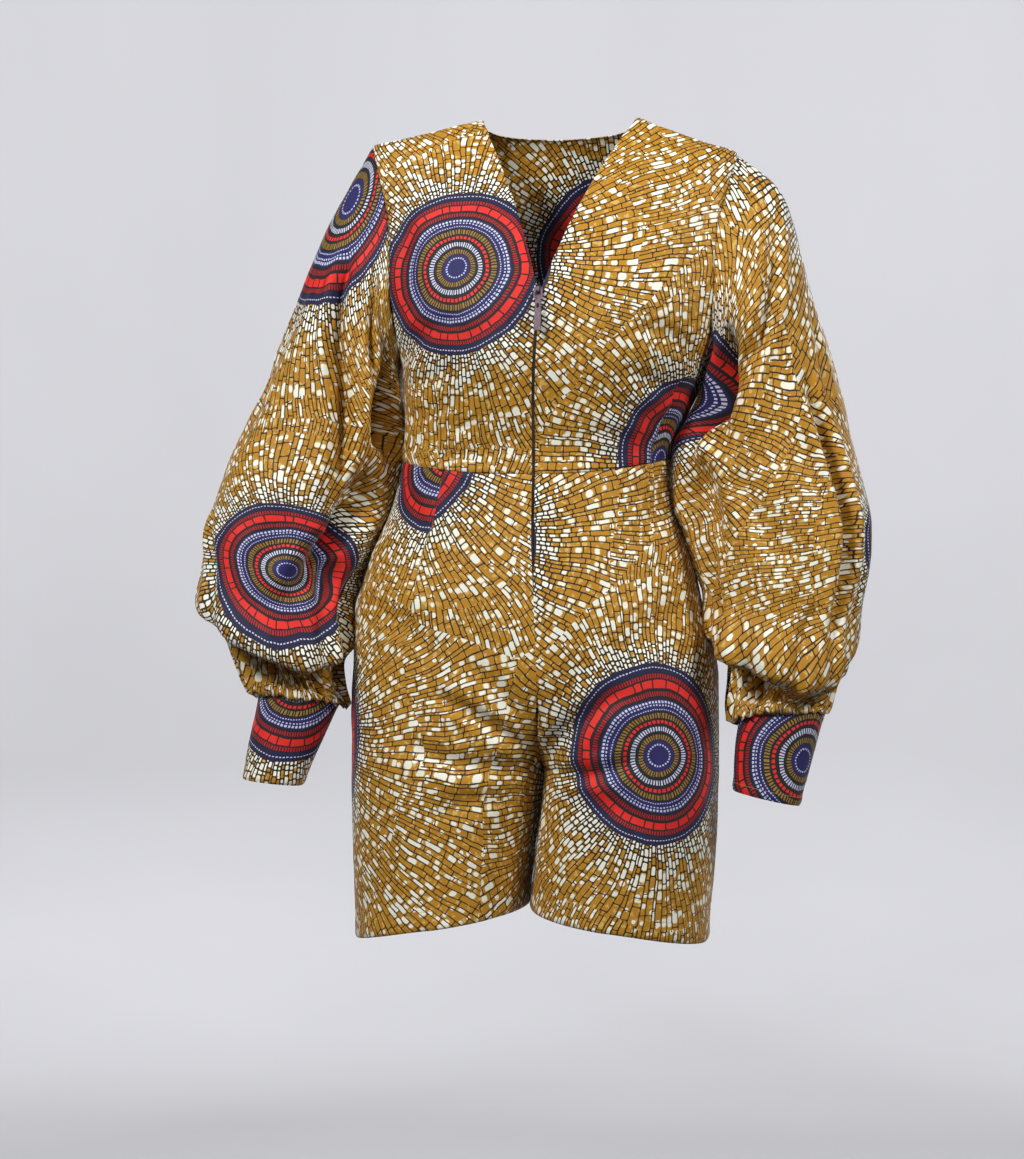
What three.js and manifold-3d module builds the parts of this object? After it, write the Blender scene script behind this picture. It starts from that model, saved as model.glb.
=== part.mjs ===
// Short long-sleeved playsuit in printed cotton, in its worn form and empty.
// Millimetres, +Z up. The front faces -Y and the wearer's left is +X.
// The origin lies midway between the two points where neck edge and shoulder seam meet.
import * as THREE from 'three';
import { mergeVertices } from 'three/addons/utils/BufferGeometryUtils.js';
import Module from 'manifold-3d';

// Cloth and seams
const CLOTH = 1.5; // wall thickness
const SEAM_GAP = 0.3; // clear distance between two sewn pieces
const ROUNDNESS = 2.2; // 2 is an ellipse, more is squarer

// Heights below the neck points
const V_DROP = 187; // lowest point of the V neck
const BACK_NECK_DROP = 12;
const UNDERARM_DROP = 245;
const WAIST_SIDE_DROP = 352;
const WAIST_FRONT_DIP = 18; // the waist seam hangs lower at the centre front
const RISE_START_DROP = 560; // the crotch seam starts to curve under
const CROTCH_DROP = 665;
const HEM_DROP = 827;
const HEM_TILT = 16; // lower at the side seam, higher at the inseam

// Zip
const ZIP_OPEN_GAP = 3; // between the two front edges, at the neck
const ZIP_CLOSE_FROM_DROP = 440;
const ZIP_END_DROP = 500;
const TAPE_WIDTH = 24;
const TAPE_THICKNESS = 1;
const TAPE_BEHIND = 2.9; // from the outside of the fronts to the outside of the tape
const TAPE_STEPS = 14;

// Mesh density
const FRONT_COLUMNS = 9;
const BACK_NECK_COLUMNS = 4;
const SIDE_ROWS = 7;
const ARMHOLE_ROWS = 12;
const SLEEVE_POINTS = 2 * ARMHOLE_ROWS;
const GATHERS = 24; // waves round each sleeve end
const POINTS_PER_GATHER = 4;
const CUFF_POINTS = 36;
const LEG_COLUMNS = 9;

const radians = degrees => degrees * Math.PI / 180;
const lerp = (a, b, t) => a + (b - a) * t;
const clamp01 = t => Math.min(1, Math.max(0, t));
const smooth = t => clamp01(t) ** 2 * (3 - 2 * clamp01(t));
const rootPower = (value, roundness) => Math.sign(value) * Math.abs(value) ** (2 / roundness);
const add = (a, b, scale = 1) => a.map((value, i) => value + b[i] * scale);
const sub = (a, b) => add(a, b, -1);
const dot = (a, b) => a[0] * b[0] + a[1] * b[1] + a[2] * b[2];
const unit = a => a.map(value => value / Math.hypot(...a));
const cross = (a, b) => [
  a[1] * b[2] - a[2] * b[1],
  a[2] * b[0] - a[0] * b[2],
  a[0] * b[1] - a[1] * b[0],
];

// A table with named columns; the first one is the key. Between its rows every
// column follows a smooth curve that never swings past the rows themselves.
function smoothTable(names, rows) {
  const keys = rows.map(row => row[0]);
  const steps = keys.slice(1).map((key, i) => key - keys[i]);
  const slopesOf = column => {
    const secants = steps.map((step, i) => (rows[i + 1][column] - rows[i][column]) / step);
    return keys.map((_, i) => {
      const before = secants[Math.max(0, i - 1)];
      const after = secants[Math.min(secants.length - 1, i)];
      return before * after <= 0 ? 0 : 2 * before * after / (before + after);
    });
  };
  const slopes = names.map((_, column) => slopesOf(column));
  return key => {
    const at = keys.findIndex(next => next > key);
    const i = at < 0 ? keys.length - 2 : Math.max(0, at - 1);
    const t = (key - keys[i]) / steps[i];
    const blend = column => {
      const [start, end] = [rows[i][column], rows[i + 1][column]];
      const rise = slopes[column][i] * steps[i];
      const fall = slopes[column][i + 1] * steps[i];
      if (t < 0) return start + rise * t;
      if (t > 1) return end + fall * (t - 1);
      return start * (1 + 2 * t) * (1 - t) ** 2 + end * t * t * (3 - 2 * t)
        + rise * t * (1 - t) ** 2 - fall * t * t * (1 - t);
    };
    return Object.fromEntries(names.map((name, column) => [name, blend(column)]));
  };
}

// Level sections of bodice and hips: where the centre line and both sides lie,
// and how far the cloth stands forward and back of the side seams.
const bodySection = smoothTable(
  ['drop', 'centre', 'left', 'right', 'front', 'back'],
  [
    [0, 0, 80, -80, 3, 48],
    [8, 0, 99, -116, 14, 58],
    [16, 0, 118, -152, 22, 64],
    [26, -1, 142, -196, 31, 71],
    [43, -1, 183, -200, 44, 79],
    [60, -2, 189, -201, 55, 85],
    [90, -3, 191, -199, 72, 93],
    [140, -5, 188, -194, 96, 101],
    [187, -7, 182, -187, 112, 103],
    [215, -9, 173, -177, 117, 101],
    [245, -11, 162, -165, 117, 97],
    [300, -14, 135, -161, 106, 86],
    [352, -15, 114, -163, 95, 76],
    [404, -15, 118, -174, 100, 90],
    [455, -14, 135, -198, 108, 108],
    [517, -12, 151, -213, 113, 120],
    [579, -10, 163, -215, 113, 123],
    [665, -14, 162, -216, 108, 118],
    [754, -26, 158, -213, 103, 110],
    [850, -35, 152, -211, 101, 107],
  ],
);

// Lower edge of the shoulder seam on each side
const SHOULDER_TIP_DROP = { left: 43, right: 26 };

// Each sleeve is a run of rings. A ring is given by its outer and inner edge
// (sideways and drop), the place of its middle forward or back, and its half depth.
const RING_COLUMNS = ['along', 'outerX', 'outerDrop', 'innerX', 'innerDrop', 'middleY', 'depth'];
const sleeveRing = {
  right: smoothTable(RING_COLUMNS, [
    [0.00, -196, 26, -165, 245, 0, 60],
    [0.08, -228, 80, -166.5, 262, 2, 64],
    [0.17, -252, 127, -165.5, 282, 3, 68],
    [0.26, -271, 178, -164.5, 303, 4, 72],
    [0.35, -291, 230, -165, 326, 4, 75],
    [0.44, -311, 281, -167, 350, 3, 78],
    [0.53, -329, 318, -171.5, 378, 1, 80],
    [0.62, -345, 354, -182, 408, -3, 81],
    [0.70, -359, 395, -196, 438, -7, 81],
    [0.78, -368, 431, -209, 470, -12, 79],
    [0.85, -369, 478, -218, 506, -17, 75],
    [0.90, -362, 515, -221, 540, -21, 70],
    [0.94, -346, 548, -222, 570, -25, 62],
    [0.97, -328, 575, -220, 592, -28, 52],
    [0.985, -315, 591, -219, 605, -30, 44],
    [1.00, -308, 589.5, -222.5, 597.5, -30, 37.5],
  ]),
  left: smoothTable(RING_COLUMNS, [
    [0.00, 183, 43, 162, 245, 0, 60],
    [0.08, 222, 74, 159, 262, 2, 64],
    [0.17, 238, 110, 148.5, 281, 4, 68],
    [0.26, 250, 151, 138, 301, 6, 72],
    [0.35, 261, 198, 127.5, 322, 8, 75],
    [0.44, 276, 244, 119, 346, 8, 78],
    [0.53, 289, 290, 118, 372, 8, 80],
    [0.62, 299, 337, 121, 398, 6, 82],
    [0.70, 309, 378, 128, 425, 2, 83],
    [0.78, 318, 420, 140, 458, -3, 82],
    [0.85, 314, 471, 151, 494, -9, 78],
    [0.90, 304, 513, 159, 527, -14, 73],
    [0.94, 291, 551, 166, 562, -19, 65],
    [0.97, 281, 588, 171, 597, -24, 54],
    [0.985, 275, 607, 177, 619, -28, 45],
    [1.00, 272, 608.5, 187.5, 602.5, -30, 37.5],
  ]),
};
const cuffRing = {
  right: smoothTable(RING_COLUMNS, [
    [0, -307.5, 590, -223, 598, -30, 37],
    [0.5, -317, 635, -244, 643, -34, 33],
    [1, -325, 680, -262, 687, -38, 30],
  ]),
  left: smoothTable(RING_COLUMNS, [
    [0, 271.5, 609, 188, 603, -30, 37],
    [0.5, 259, 657, 182, 645, -34, 33],
    [1, 247, 702, 180, 687, -38, 30],
  ]),
};

// The largest folds of the sleeves: angle round the ring from the outer edge over
// the front, the stretch of the sleeve they run along, and their size.
const FOLD_COLUMNS = ['side', 'around', 'turn', 'from', 'to', 'halfWidth', 'depth'];
const sleeveFolds = [
  ['right', 118, 10, 0.10, 0.62, 15, 9],
  ['right', 78, -12, 0.55, 0.98, 13, 7],
  ['right', 140, -20, 0.62, 0.99, 14, 10],
  ['right', 30, 20, 0.78, 0.99, 12, 7],
  ['right', 245, 15, 0.15, 0.75, 16, 9],
  ['right', 292, -15, 0.60, 0.98, 14, 9],
  ['left', 34, 14, 0.45, 0.97, 13, 10],
  ['left', 122, -10, 0.08, 0.55, 15, 8],
  ['left', 92, 22, 0.74, 0.99, 13, 9],
  ['left', 138, 10, 0.70, 0.99, 13, 9],
  ['left', 248, 10, 0.15, 0.75, 16, 9],
  ['left', 300, -12, 0.60, 0.98, 14, 9],
].map(row => Object.fromEntries(FOLD_COLUMNS.map((name, i) => [name, row[i]])));

// Point of the body's surface at an angle from the centre front (+ to the wearer's
// left, 90 at the side seam, 180 at the centre back) and a drop below the neck points.
function bodyPoint(angle, drop) {
  const section = bodySection(drop);
  const sine = rootPower(Math.sin(radians(angle)), ROUNDNESS);
  const cosine = rootPower(Math.cos(radians(angle)), ROUNDNESS);
  const side = sine > 0 ? section.left : section.right;
  const x = section.centre + Math.abs(sine) * (side - section.centre);
  const y = cosine > 0 ? -section.front * cosine : -section.back * cosine;
  return [x, y, -drop];
}

// Angle at which the body's surface is a given distance to the side of its centre line
function angleAt(distance, drop, side) {
  const section = bodySection(drop);
  const reach = Math.abs(section[side] - section.centre);
  return Math.asin(clamp01(distance / reach) ** (ROUNDNESS / 2)) * 180 / Math.PI;
}

const signOf = side => (side === 'left' ? 1 : -1);

// Armhole: 0 at the underarm, 1 at the shoulder tip
const FRONT_ARMHOLE_CUT = 31; // degrees that the armhole cuts into the front
const BACK_ARMHOLE_CUT = 26;
function armholeAt(side, t, cut) {
  const drop = lerp(UNDERARM_DROP, SHOULDER_TIP_DROP[side], (1 - Math.cos(Math.PI * t)) / 2);
  return { angle: 90 - cut * Math.abs(Math.sin(Math.PI * t)) ** 0.8, drop };
}

function waistDropAt(angle) {
  const forward = Math.max(0, Math.cos(radians(angle)));
  return WAIST_SIDE_DROP + WAIST_FRONT_DIP * forward ** 1.5;
}

// Side seam and armhole edge of a bodice panel, from the waist to the shoulder tip
const BODICE_ROWS = SIDE_ROWS + ARMHOLE_ROWS;
function outerEdge(side, up, cut) {
  const row = up * BODICE_ROWS;
  if (row > SIDE_ROWS) return armholeAt(side, (row - SIDE_ROWS) / ARMHOLE_ROWS, cut);
  return { angle: 90, drop: lerp(WAIST_SIDE_DROP, UNDERARM_DROP, row / SIDE_ROWS) };
}

// Half the width left open between the two front edges for the zip
function zipHalfGap(drop) {
  const closing = smooth((drop - ZIP_CLOSE_FROM_DROP) / (ZIP_END_DROP - ZIP_CLOSE_FROM_DROP));
  return lerp(ZIP_OPEN_GAP / 2, 0, closing);
}

// Centre front and neck edge of a front panel, from the waist to the neck point
const NECK_STARTS_AT = 0.47;
const NECK_HOLLOW = 6; // how far the neck edge curves in from a straight line
function innerEdge(side, t) {
  if (t <= NECK_STARTS_AT) {
    const drop = lerp(waistDropAt(0), V_DROP, t / NECK_STARTS_AT);
    return { angle: angleAt(zipHalfGap(drop), drop, side), drop };
  }
  const climb = (t - NECK_STARTS_AT) / (1 - NECK_STARTS_AT);
  const drop = lerp(V_DROP, 0, climb);
  const reach = Math.abs(bodySection(0)[side]);
  const distance = lerp(zipHalfGap(V_DROP), reach, climb) - NECK_HOLLOW * Math.sin(Math.PI * climb);
  return { angle: climb === 1 ? 90 : angleAt(distance, drop, side), drop };
}

function frontSurface(side) {
  return (across, up) => {
    const inner = innerEdge(side, up);
    const outer = outerEdge(side, up, FRONT_ARMHOLE_CUT);
    const angle = lerp(inner.angle, outer.angle, across);
    const level = lerp(inner.drop, outer.drop, across);
    const seam = waistDropAt(angle) - lerp(waistDropAt(0), WAIST_SIDE_DROP, across);
    return bodyPoint(signOf(side) * angle, level + seam * (1 - up) ** 6);
  };
}

// The back is one piece; across runs from the wearer's right (-1) to the left (+1)
const BACK_NECK_SHARE = BACK_NECK_COLUMNS / (BACK_NECK_COLUMNS + FRONT_COLUMNS);
function backTopEdge(side, across) {
  if (across <= BACK_NECK_SHARE) {
    const turn = across / BACK_NECK_SHARE;
    return { angle: 180 - 90 * turn, drop: BACK_NECK_DROP * Math.cos(Math.PI * turn / 2) ** 2 };
  }
  const along = (across - BACK_NECK_SHARE) / (1 - BACK_NECK_SHARE);
  return { angle: 90, drop: SHOULDER_TIP_DROP[side] * along };
}

// Only the top few rows bend to the neck edge and the shoulder seams
function backSurface(acrossSigned, up) {
  const side = acrossSigned < 0 ? 'right' : 'left';
  const across = Math.abs(acrossSigned);
  const top = backTopEdge(side, across);
  const outer = outerEdge(side, up, -BACK_ARMHOLE_CUT);
  const share = lerp(across, (180 - top.angle) / 90, up ** 7);
  const middleDrop = lerp(WAIST_SIDE_DROP, BACK_NECK_DROP, up);
  const straightTop = lerp(BACK_NECK_DROP, SHOULDER_TIP_DROP[side], across);
  const drop = lerp(middleDrop, outer.drop, across) + (top.drop - straightTop) * up ** 4;
  return bodyPoint(signOf(side) * lerp(180, outer.angle, share), drop);
}

// Shorts: the level rows of the trunk turn into rings round each leg
const LEG_MIDDLE_Y = 6;
const INSEAM_GAP_AT_HEM = 5;
const TRUNK_ROWS = 6;
const RISE_ROWS = 6;
const THIGH_ROWS = 5;
const SHORTS_ROWS = TRUNK_ROWS + RISE_ROWS + THIGH_ROWS;
const OUTER_BLEND_FROM = 500;
const OUTER_BLEND_TO = 740;

function legPoint(side, half, across, drop) {
  const section = bodySection(drop);
  const below = clamp01((drop - CROTCH_DROP) / (HEM_DROP - CROTCH_DROP));
  const inner = section.centre + signOf(side) * below * INSEAM_GAP_AT_HEM / 2;
  const middle = (inner + section[side]) / 2;
  const halfWidth = Math.abs(section[side] - inner) / 2;
  const turn = radians(-90 + 180 * across);
  const x = middle + signOf(side) * halfWidth * rootPower(Math.sin(turn), ROUNDNESS + 0.2);
  const reach = rootPower(Math.max(0, Math.cos(turn)), ROUNDNESS + 0.2);
  const y = half === 'front' ? -section.front * reach : section.back * reach;
  return [x, y + LEG_MIDDLE_Y * (1 - reach), -drop];
}

// How far the trunk has turned into a leg: at the inseam it follows the curve of the
// crotch seam, further out it changes slowly.
function legShare(across, drop) {
  const rise = clamp01((drop - RISE_START_DROP) / (CROTCH_DROP - RISE_START_DROP));
  const atInseam = 1 - Math.sqrt(1 - rise * rise);
  const outside = smooth((drop - OUTER_BLEND_FROM) / (OUTER_BLEND_TO - OUTER_BLEND_FROM));
  return lerp(atInseam, outside, smooth(across / 0.45));
}

// Level of a row of the shorts: evenly spaced down the trunk, closer and closer
// towards the crotch, and even again down the leg to the tilted hem.
function shortsDrop(across, down, fullAngle) {
  const place = down * SHORTS_ROWS;
  if (place <= TRUNK_ROWS) return lerp(waistDropAt(fullAngle), RISE_START_DROP, place / TRUNK_ROWS);
  if (place <= TRUNK_ROWS + RISE_ROWS) {
    const turn = (place - TRUNK_ROWS) / RISE_ROWS * Math.PI / 2;
    return lerp(RISE_START_DROP, CROTCH_DROP, Math.sin(turn));
  }
  const hem = HEM_DROP - HEM_TILT * Math.cos(Math.PI * across);
  return lerp(CROTCH_DROP, hem, (place - TRUNK_ROWS - RISE_ROWS) / THIGH_ROWS);
}

function shortsSurface(side, half) {
  return (across, down) => {
    const frontAngle = 90 * across ** 1.6;
    const drop = shortsDrop(across, down, half === 'front' ? frontAngle : 180 - frontAngle);
    const start = half === 'front' ? angleAt(zipHalfGap(drop), drop, side) : 0;
    const opened = start + (90 - start) * across ** 1.6;
    const trunk = bodyPoint(signOf(side) * (half === 'front' ? opened : 180 - opened), drop);
    const leg = legPoint(side, half, across, drop);
    return trunk.map((value, i) => lerp(value, leg[i], legShare(across, drop)));
  };
}

// A point of a ring, at an angle from the outer edge over the front
function ringPoint(ring, angle, roundness) {
  const outward = rootPower(Math.cos(radians(angle)), roundness);
  const forward = rootPower(Math.sin(radians(angle)), roundness);
  const x = lerp(ring.innerX, ring.outerX, (1 + outward) / 2);
  const drop = lerp(ring.innerDrop, ring.outerDrop, (1 + outward) / 2);
  return [x, ring.middleY - forward * ring.depth, -drop];
}

function armholePoint(side, angle) {
  const front = angle <= 180;
  const t = 1 - (front ? angle : 360 - angle) / 180;
  const edge = armholeAt(side, t, front ? FRONT_ARMHOLE_CUT : -BACK_ARMHOLE_CUT);
  return bodyPoint(signOf(side) * edge.angle, edge.drop);
}

const SLEEVE_HEAD_ENDS = 0.3; // by here the ring no longer follows the armhole
const HEAD_ROUNDNESS = 2;
const ARM_ROUNDNESS = 2.4;
const WRIST_ROUNDNESS = 2.1;
const UNDERARM_CLEAR = 0.4; // the sleeve stands off the bodice below the armhole
const GATHER_STARTS = 0.84;
const GATHER_FULL = 0.985;
const GATHER_HEIGHT = 4.8; // outward only
function sleeveSurface(side) {
  const folds = sleeveFolds.filter(fold => fold.side === side);
  return (turn, along) => {
    const angle = ((turn * 360) % 360 + 360) % 360;
    const ring = sleeveRing[side](along);
    const armRoundness = lerp(HEAD_ROUNDNESS, ARM_ROUNDNESS, smooth(along / SLEEVE_HEAD_ENDS));
    const roundness = lerp(armRoundness, WRIST_ROUNDNESS, smooth((along - 0.9) / 0.1));
    let point = ringPoint(ring, angle, roundness);
    if (along < SLEEVE_HEAD_ENDS) {
      const start = ringPoint(sleeveRing[side](0), angle, HEAD_ROUNDNESS);
      const head = sub(armholePoint(side, angle), start);
      head[0] += signOf(side) * UNDERARM_CLEAR * (1 - Math.cos(radians(angle))) / 2;
      point = add(point, head, 1 - smooth(along / SLEEVE_HEAD_ENDS));
    }
    const middle = ringPoint(ring, 90, roundness).map((value, i) =>
      (value + ringPoint(ring, 270, roundness)[i]) / 2);
    const outward = unit(sub(point, middle));
    let lift = 0;
    for (const fold of folds) {
      const run = (along - fold.from) / (fold.to - fold.from);
      if (run <= 0 || run >= 1) continue;
      const away = ((angle - fold.around - fold.turn * run + 540) % 360 - 180) / fold.halfWidth;
      lift -= fold.depth * Math.exp(-away * away) * Math.sin(Math.PI * run) ** 0.7;
    }
    const gathering = smooth((along - GATHER_STARTS) / (GATHER_FULL - GATHER_STARTS))
      - 0.8 * smooth((along - GATHER_FULL) / (1 - GATHER_FULL));
    lift += GATHER_HEIGHT * gathering * (1 + Math.cos(radians(angle) * GATHERS)) / 2;
    return add(point, outward, lift);
  };
}

const cuffSurface = side => (turn, along) => ringPoint(cuffRing[side](along), turn * 360, 2.1);

// Rows of points with the direction out of the cloth at each
function gridOf(surface, rowPlaces, { closed = false, counts, low = 0, seamLine = surface } = {}) {
  const step = 1e-3;
  const edge = value => (closed ? value : Math.min(1, Math.max(low, value)));
  const normalAt = (a, b) => {
    const [a0, a1] = [edge(a - step), edge(a + step)];
    const [b0, b1] = [clamp01(b - step), clamp01(b + step)];
    return unit(cross(sub(surface(a1, b), surface(a0, b)), sub(surface(a, b1), surface(a, b0))));
  };
  return rowPlaces.map((b, i) => {
    const count = typeof counts === 'function' ? counts(i) : counts;
    const places = Array.from({ length: closed ? count : count + 1 }, (_, j) =>
      lerp(low, 1, j / count));
    return places.map(a => ({ point: surface(a, b), seam: seamLine(a, b), out: normalAt(a, b) }));
  });
}

// Turn every direction of a piece the same way, so that it leaves the cloth
function faceOut(rows, inside) {
  const row = rows[Math.floor(rows.length / 2)];
  const sample = row[Math.floor(row.length / 3)];
  if (dot(sample.out, sub(sample.point, inside)) > 0) return rows;
  for (const line of rows) {
    for (const vertex of line) vertex.out = vertex.out.map(value => -value);
  }
  return rows;
}

// Pieces that meet at a seam lean their walls the same way there
function shareSeams(pieces) {
  const meeting = new Map();
  const boundary = ({ rows, closed }) => rows.flatMap((row, i) => {
    if (i === 0 || i === rows.length - 1) return row;
    return closed ? [] : [row[0], row[row.length - 1]];
  });
  for (const piece of pieces) {
    for (const vertex of boundary(piece)) {
      const key = vertex.seam.map(value => Math.round(value * 10)).join();
      meeting.set(key, [...(meeting.get(key) ?? []), vertex]);
    }
  }
  for (const vertices of meeting.values()) {
    const first = vertices[0].out;
    if (vertices.length < 2 || vertices.some(vertex => dot(vertex.out, first) < 0.2)) continue;
    const shared = unit(vertices.reduce((sum, vertex) => add(sum, vertex.out), [0, 0, 0]));
    for (const vertex of vertices) vertex.out = shared;
  }
}

// Draw the edges back from the seam line by half the seam gap
function trimEdges({ rows, closed }) {
  const pull = (vertex, towards) => {
    vertex.moved = add(vertex.moved ?? vertex.point, unit(sub(towards, vertex.point)), SEAM_GAP / 2);
  };
  const last = rows.length - 1;
  const nearest = (row, j, length) => row[Math.round(j * row.length / length) % row.length].point;
  rows[0].forEach((vertex, j) => pull(vertex, nearest(rows[1], j, rows[0].length)));
  rows[last].forEach((vertex, j) => pull(vertex, nearest(rows[last - 1], j, rows[last].length)));
  if (!closed) {
    for (const row of rows) {
      pull(row[0], row[1].point);
      pull(row[row.length - 1], row[row.length - 2].point);
    }
  }
  for (const row of rows) {
    for (const vertex of row) vertex.point = vertex.moved ?? vertex.point;
  }
}

// A closed wall from rows of points; a row may have a whole number of times as
// many points as the row before it.
function wallGeometry({ rows, closed }, thickness = CLOTH) {
  const positions = [];
  const faces = [];
  const place = point => positions.push(...point) / 3 - 1;
  const outer = rows.map(row => row.map(vertex => place(vertex.point)));
  const inner = rows.map(row => row.map(vertex => place(add(vertex.point, vertex.out, -thickness))));
  const strip = (near, far, flipped) => {
    const segments = closed ? near.length : near.length - 1;
    const ratio = Math.round((closed ? far.length : far.length - 1) / segments);
    const push = (a, b, c) => faces.push(...(flipped ? [a, c, b] : [a, b, c]));
    for (let i = 0; i < segments; i++) {
      const next = (i + 1) % near.length;
      for (let j = 0; j < ratio; j++) {
        const end = (i * ratio + j + 1) % far.length;
        push(near[i], far[i * ratio + j], far[end]);
      }
      push(near[i], far[((i + 1) * ratio) % far.length], near[next]);
    }
  };
  for (let i = 0; i + 1 < rows.length; i++) {
    strip(outer[i], outer[i + 1], false);
    strip(inner[i], inner[i + 1], true);
  }
  const rim = (outside, within, flipped, loop) => {
    const segments = loop ? outside.length : outside.length - 1;
    for (let i = 0; i < segments; i++) {
      const j = (i + 1) % outside.length;
      const quad = [outside[i], outside[j], within[j], outside[i], within[j], within[i]];
      faces.push(...(flipped ? [...quad].reverse() : quad));
    }
  };
  const last = rows.length - 1;
  rim(outer[0], inner[0], false, closed);
  rim(outer[last], inner[last], true, closed);
  if (!closed) {
    const edgeOf = (lines, at) => lines.map(line => line.at(at));
    rim(edgeOf(outer, 0), edgeOf(inner, 0), true, false);
    rim(edgeOf(outer, -1), edgeOf(inner, -1), false, false);
  }
  return outwardGeometry(positions, faces);
}

function outwardGeometry(positions, faces) {
  const corner = index => positions.slice(3 * index, 3 * index + 3);
  let volume = 0;
  for (let i = 0; i < faces.length; i += 3) {
    volume += dot(corner(faces[i]), cross(corner(faces[i + 1]), corner(faces[i + 2])));
  }
  const geometry = new THREE.BufferGeometry();
  geometry.setAttribute('position', new THREE.Float32BufferAttribute(positions, 3));
  geometry.setIndex(volume > 0 ? faces : [...faces].reverse());
  return geometry;
}

// Where the rings of a sleeve lie: wide apart on the arm, close at the gathers
const SLEEVE_ROWS = [
  0, 0.04, 0.09, 0.15, 0.22, 0.3, 0.38, 0.46, 0.54, 0.62, 0.7, 0.77, 0.83,
  0.88, 0.92, 0.955, 0.985, 1,
];
const FIRST_GATHER_ROW = 13;
const evenRows = count => Array.from({ length: count + 1 }, (_, i) => i / count);

function clothPieces() {
  const upRows = evenRows(BODICE_ROWS);
  const legRows = evenRows(SHORTS_ROWS);
  const cuffRows = evenRows(3);
  const pieces = [];
  const make = (name, surface, rows, options, inside) => {
    const grid = faceOut(gridOf(surface, rows, options), inside);
    pieces.push({ name, rows: grid, closed: options.closed ?? false });
  };
  for (const side of ['left', 'right']) {
    make(`bodice_front_${side}`, frontSurface(side), upRows, { counts: FRONT_COLUMNS }, [0, 0, -200]);
  }
  make('bodice_back', backSurface, upRows,
    { counts: 2 * (BACK_NECK_COLUMNS + FRONT_COLUMNS), low: -1 }, [0, 0, -200]);
  for (const side of ['left', 'right']) {
    const legMiddle = [signOf(side) * 80 - 20, 0, -560];
    for (const half of ['front', 'back']) {
      make(`shorts_${half}_${side}`, shortsSurface(side, half), legRows,
        { counts: LEG_COLUMNS }, legMiddle);
    }
    const ring = sleeveRing[side](0.5);
    make(`sleeve_${side}`, sleeveSurface(side), SLEEVE_ROWS, {
      closed: true,
      counts: row => (row < FIRST_GATHER_ROW ? SLEEVE_POINTS : GATHERS * POINTS_PER_GATHER),
      seamLine: (turn, along) => (along === 0 ? armholePoint(side, turn * 360) : [turn, along, 0]),
    }, [(ring.outerX + ring.innerX) / 2, 0, -(ring.outerDrop + ring.innerDrop) / 2]);
    const cuff = cuffRing[side](0.5);
    make(`cuff_${side}`, cuffSurface(side), cuffRows, { closed: true, counts: CUFF_POINTS },
      [(cuff.outerX + cuff.innerX) / 2, cuff.middleY, -cuff.outerDrop]);
  }
  shareSeams(pieces);
  pieces.forEach(trimEdges);
  return pieces;
}

// Zip tape: a strip behind the front edges, from the V neck down
function tapeRows() {
  return Array.from({ length: TAPE_STEPS + 1 }, (_, i) => {
    const drop = lerp(V_DROP + 2, ZIP_END_DROP - 6, i / TAPE_STEPS);
    const slope = (bodySection(drop + 1).front - bodySection(drop - 1).front) / 2;
    const out = unit([0, -1, -slope]);
    return [-1, 0, 1].map(across => {
      const side = across < 0 ? 'right' : 'left';
      const angle = angleAt(Math.abs(across) * TAPE_WIDTH / 2, drop, side);
      return { point: add(bodyPoint(signOf(side) * angle, drop), out, -TAPE_BEHIND), out };
    });
  });
}

// Zip slider and pull. Their own frame: X across, Y out of the cloth is -, Z up, and
// the hinge line of the pull along X through the frame's origin.
const PIN_CLEAR = 0.9; // between the pull's top bar and the bridge it hangs in
const PULL_BAR = 1.7; // thickness of the pull's metal
const SLIDER = { width: 9, nose: 5.8, height: 12.5, thickness: 3.4, below: 8.5, round: 1.8 };
const BRIDGE = { width: 2.6, metal: 1.5, foot: 0.6, rise: 1.2, tail: 2.4 };
const PULL_RING = { width: 9.5, height: 13.5, openFrom: -60, openTo: 240 };
const PULL_TAB = { width: 7, narrow: 5.6, length: 31, round: 2, overlap: 1.2 };
const PULL_SLOT = { halfWidth: 1.5, halfHeight: 2.6, below: 6 };

const wasm = await Module();
wasm.setup();

function solidOf(geometry) {
  const bare = geometry.clone();
  bare.deleteAttribute('normal');
  bare.deleteAttribute('uv');
  const merged = mergeVertices(bare, 1e-4);
  return new wasm.Manifold(new wasm.Mesh({
    numProp: 3,
    vertProperties: new Float32Array(merged.attributes.position.array),
    triVerts: new Uint32Array(merged.index.array),
  }));
}

function geometryOf(solid) {
  const mesh = solid.getMesh();
  const geometry = new THREE.BufferGeometry();
  geometry.setAttribute('position', new THREE.BufferAttribute(new Float32Array(mesh.vertProperties), 3));
  geometry.setIndex(new THREE.BufferAttribute(new Uint32Array(mesh.triVerts), 1));
  return geometry;
}

// A solid extruded from a plan, centred on its own depth
function extruded(plan, depth, curveSegments) {
  const geometry = new THREE.ExtrudeGeometry(plan, { depth, bevelEnabled: false, curveSegments });
  return geometry.translate(0, 0, -depth / 2);
}

// The slider's plate: wide at the top, narrowing to its nose
function sliderPlan() {
  const { width, nose, height, round } = SLIDER;
  const plan = new THREE.Shape();
  const [top, bottom] = [height / 2, -height / 2];
  plan.moveTo(-width / 2, top - round);
  plan.quadraticCurveTo(-width / 2, top, -width / 2 + round, top);
  plan.lineTo(width / 2 - round, top);
  plan.quadraticCurveTo(width / 2, top, width / 2, top - round);
  plan.lineTo(nose / 2, bottom + round / 2);
  plan.quadraticCurveTo(nose / 2, bottom, nose / 2 - round / 2, bottom);
  plan.lineTo(-nose / 2 + round / 2, bottom);
  plan.quadraticCurveTo(-nose / 2, bottom, -nose / 2, bottom + round / 2);
  plan.closePath();
  return plan;
}

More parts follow.
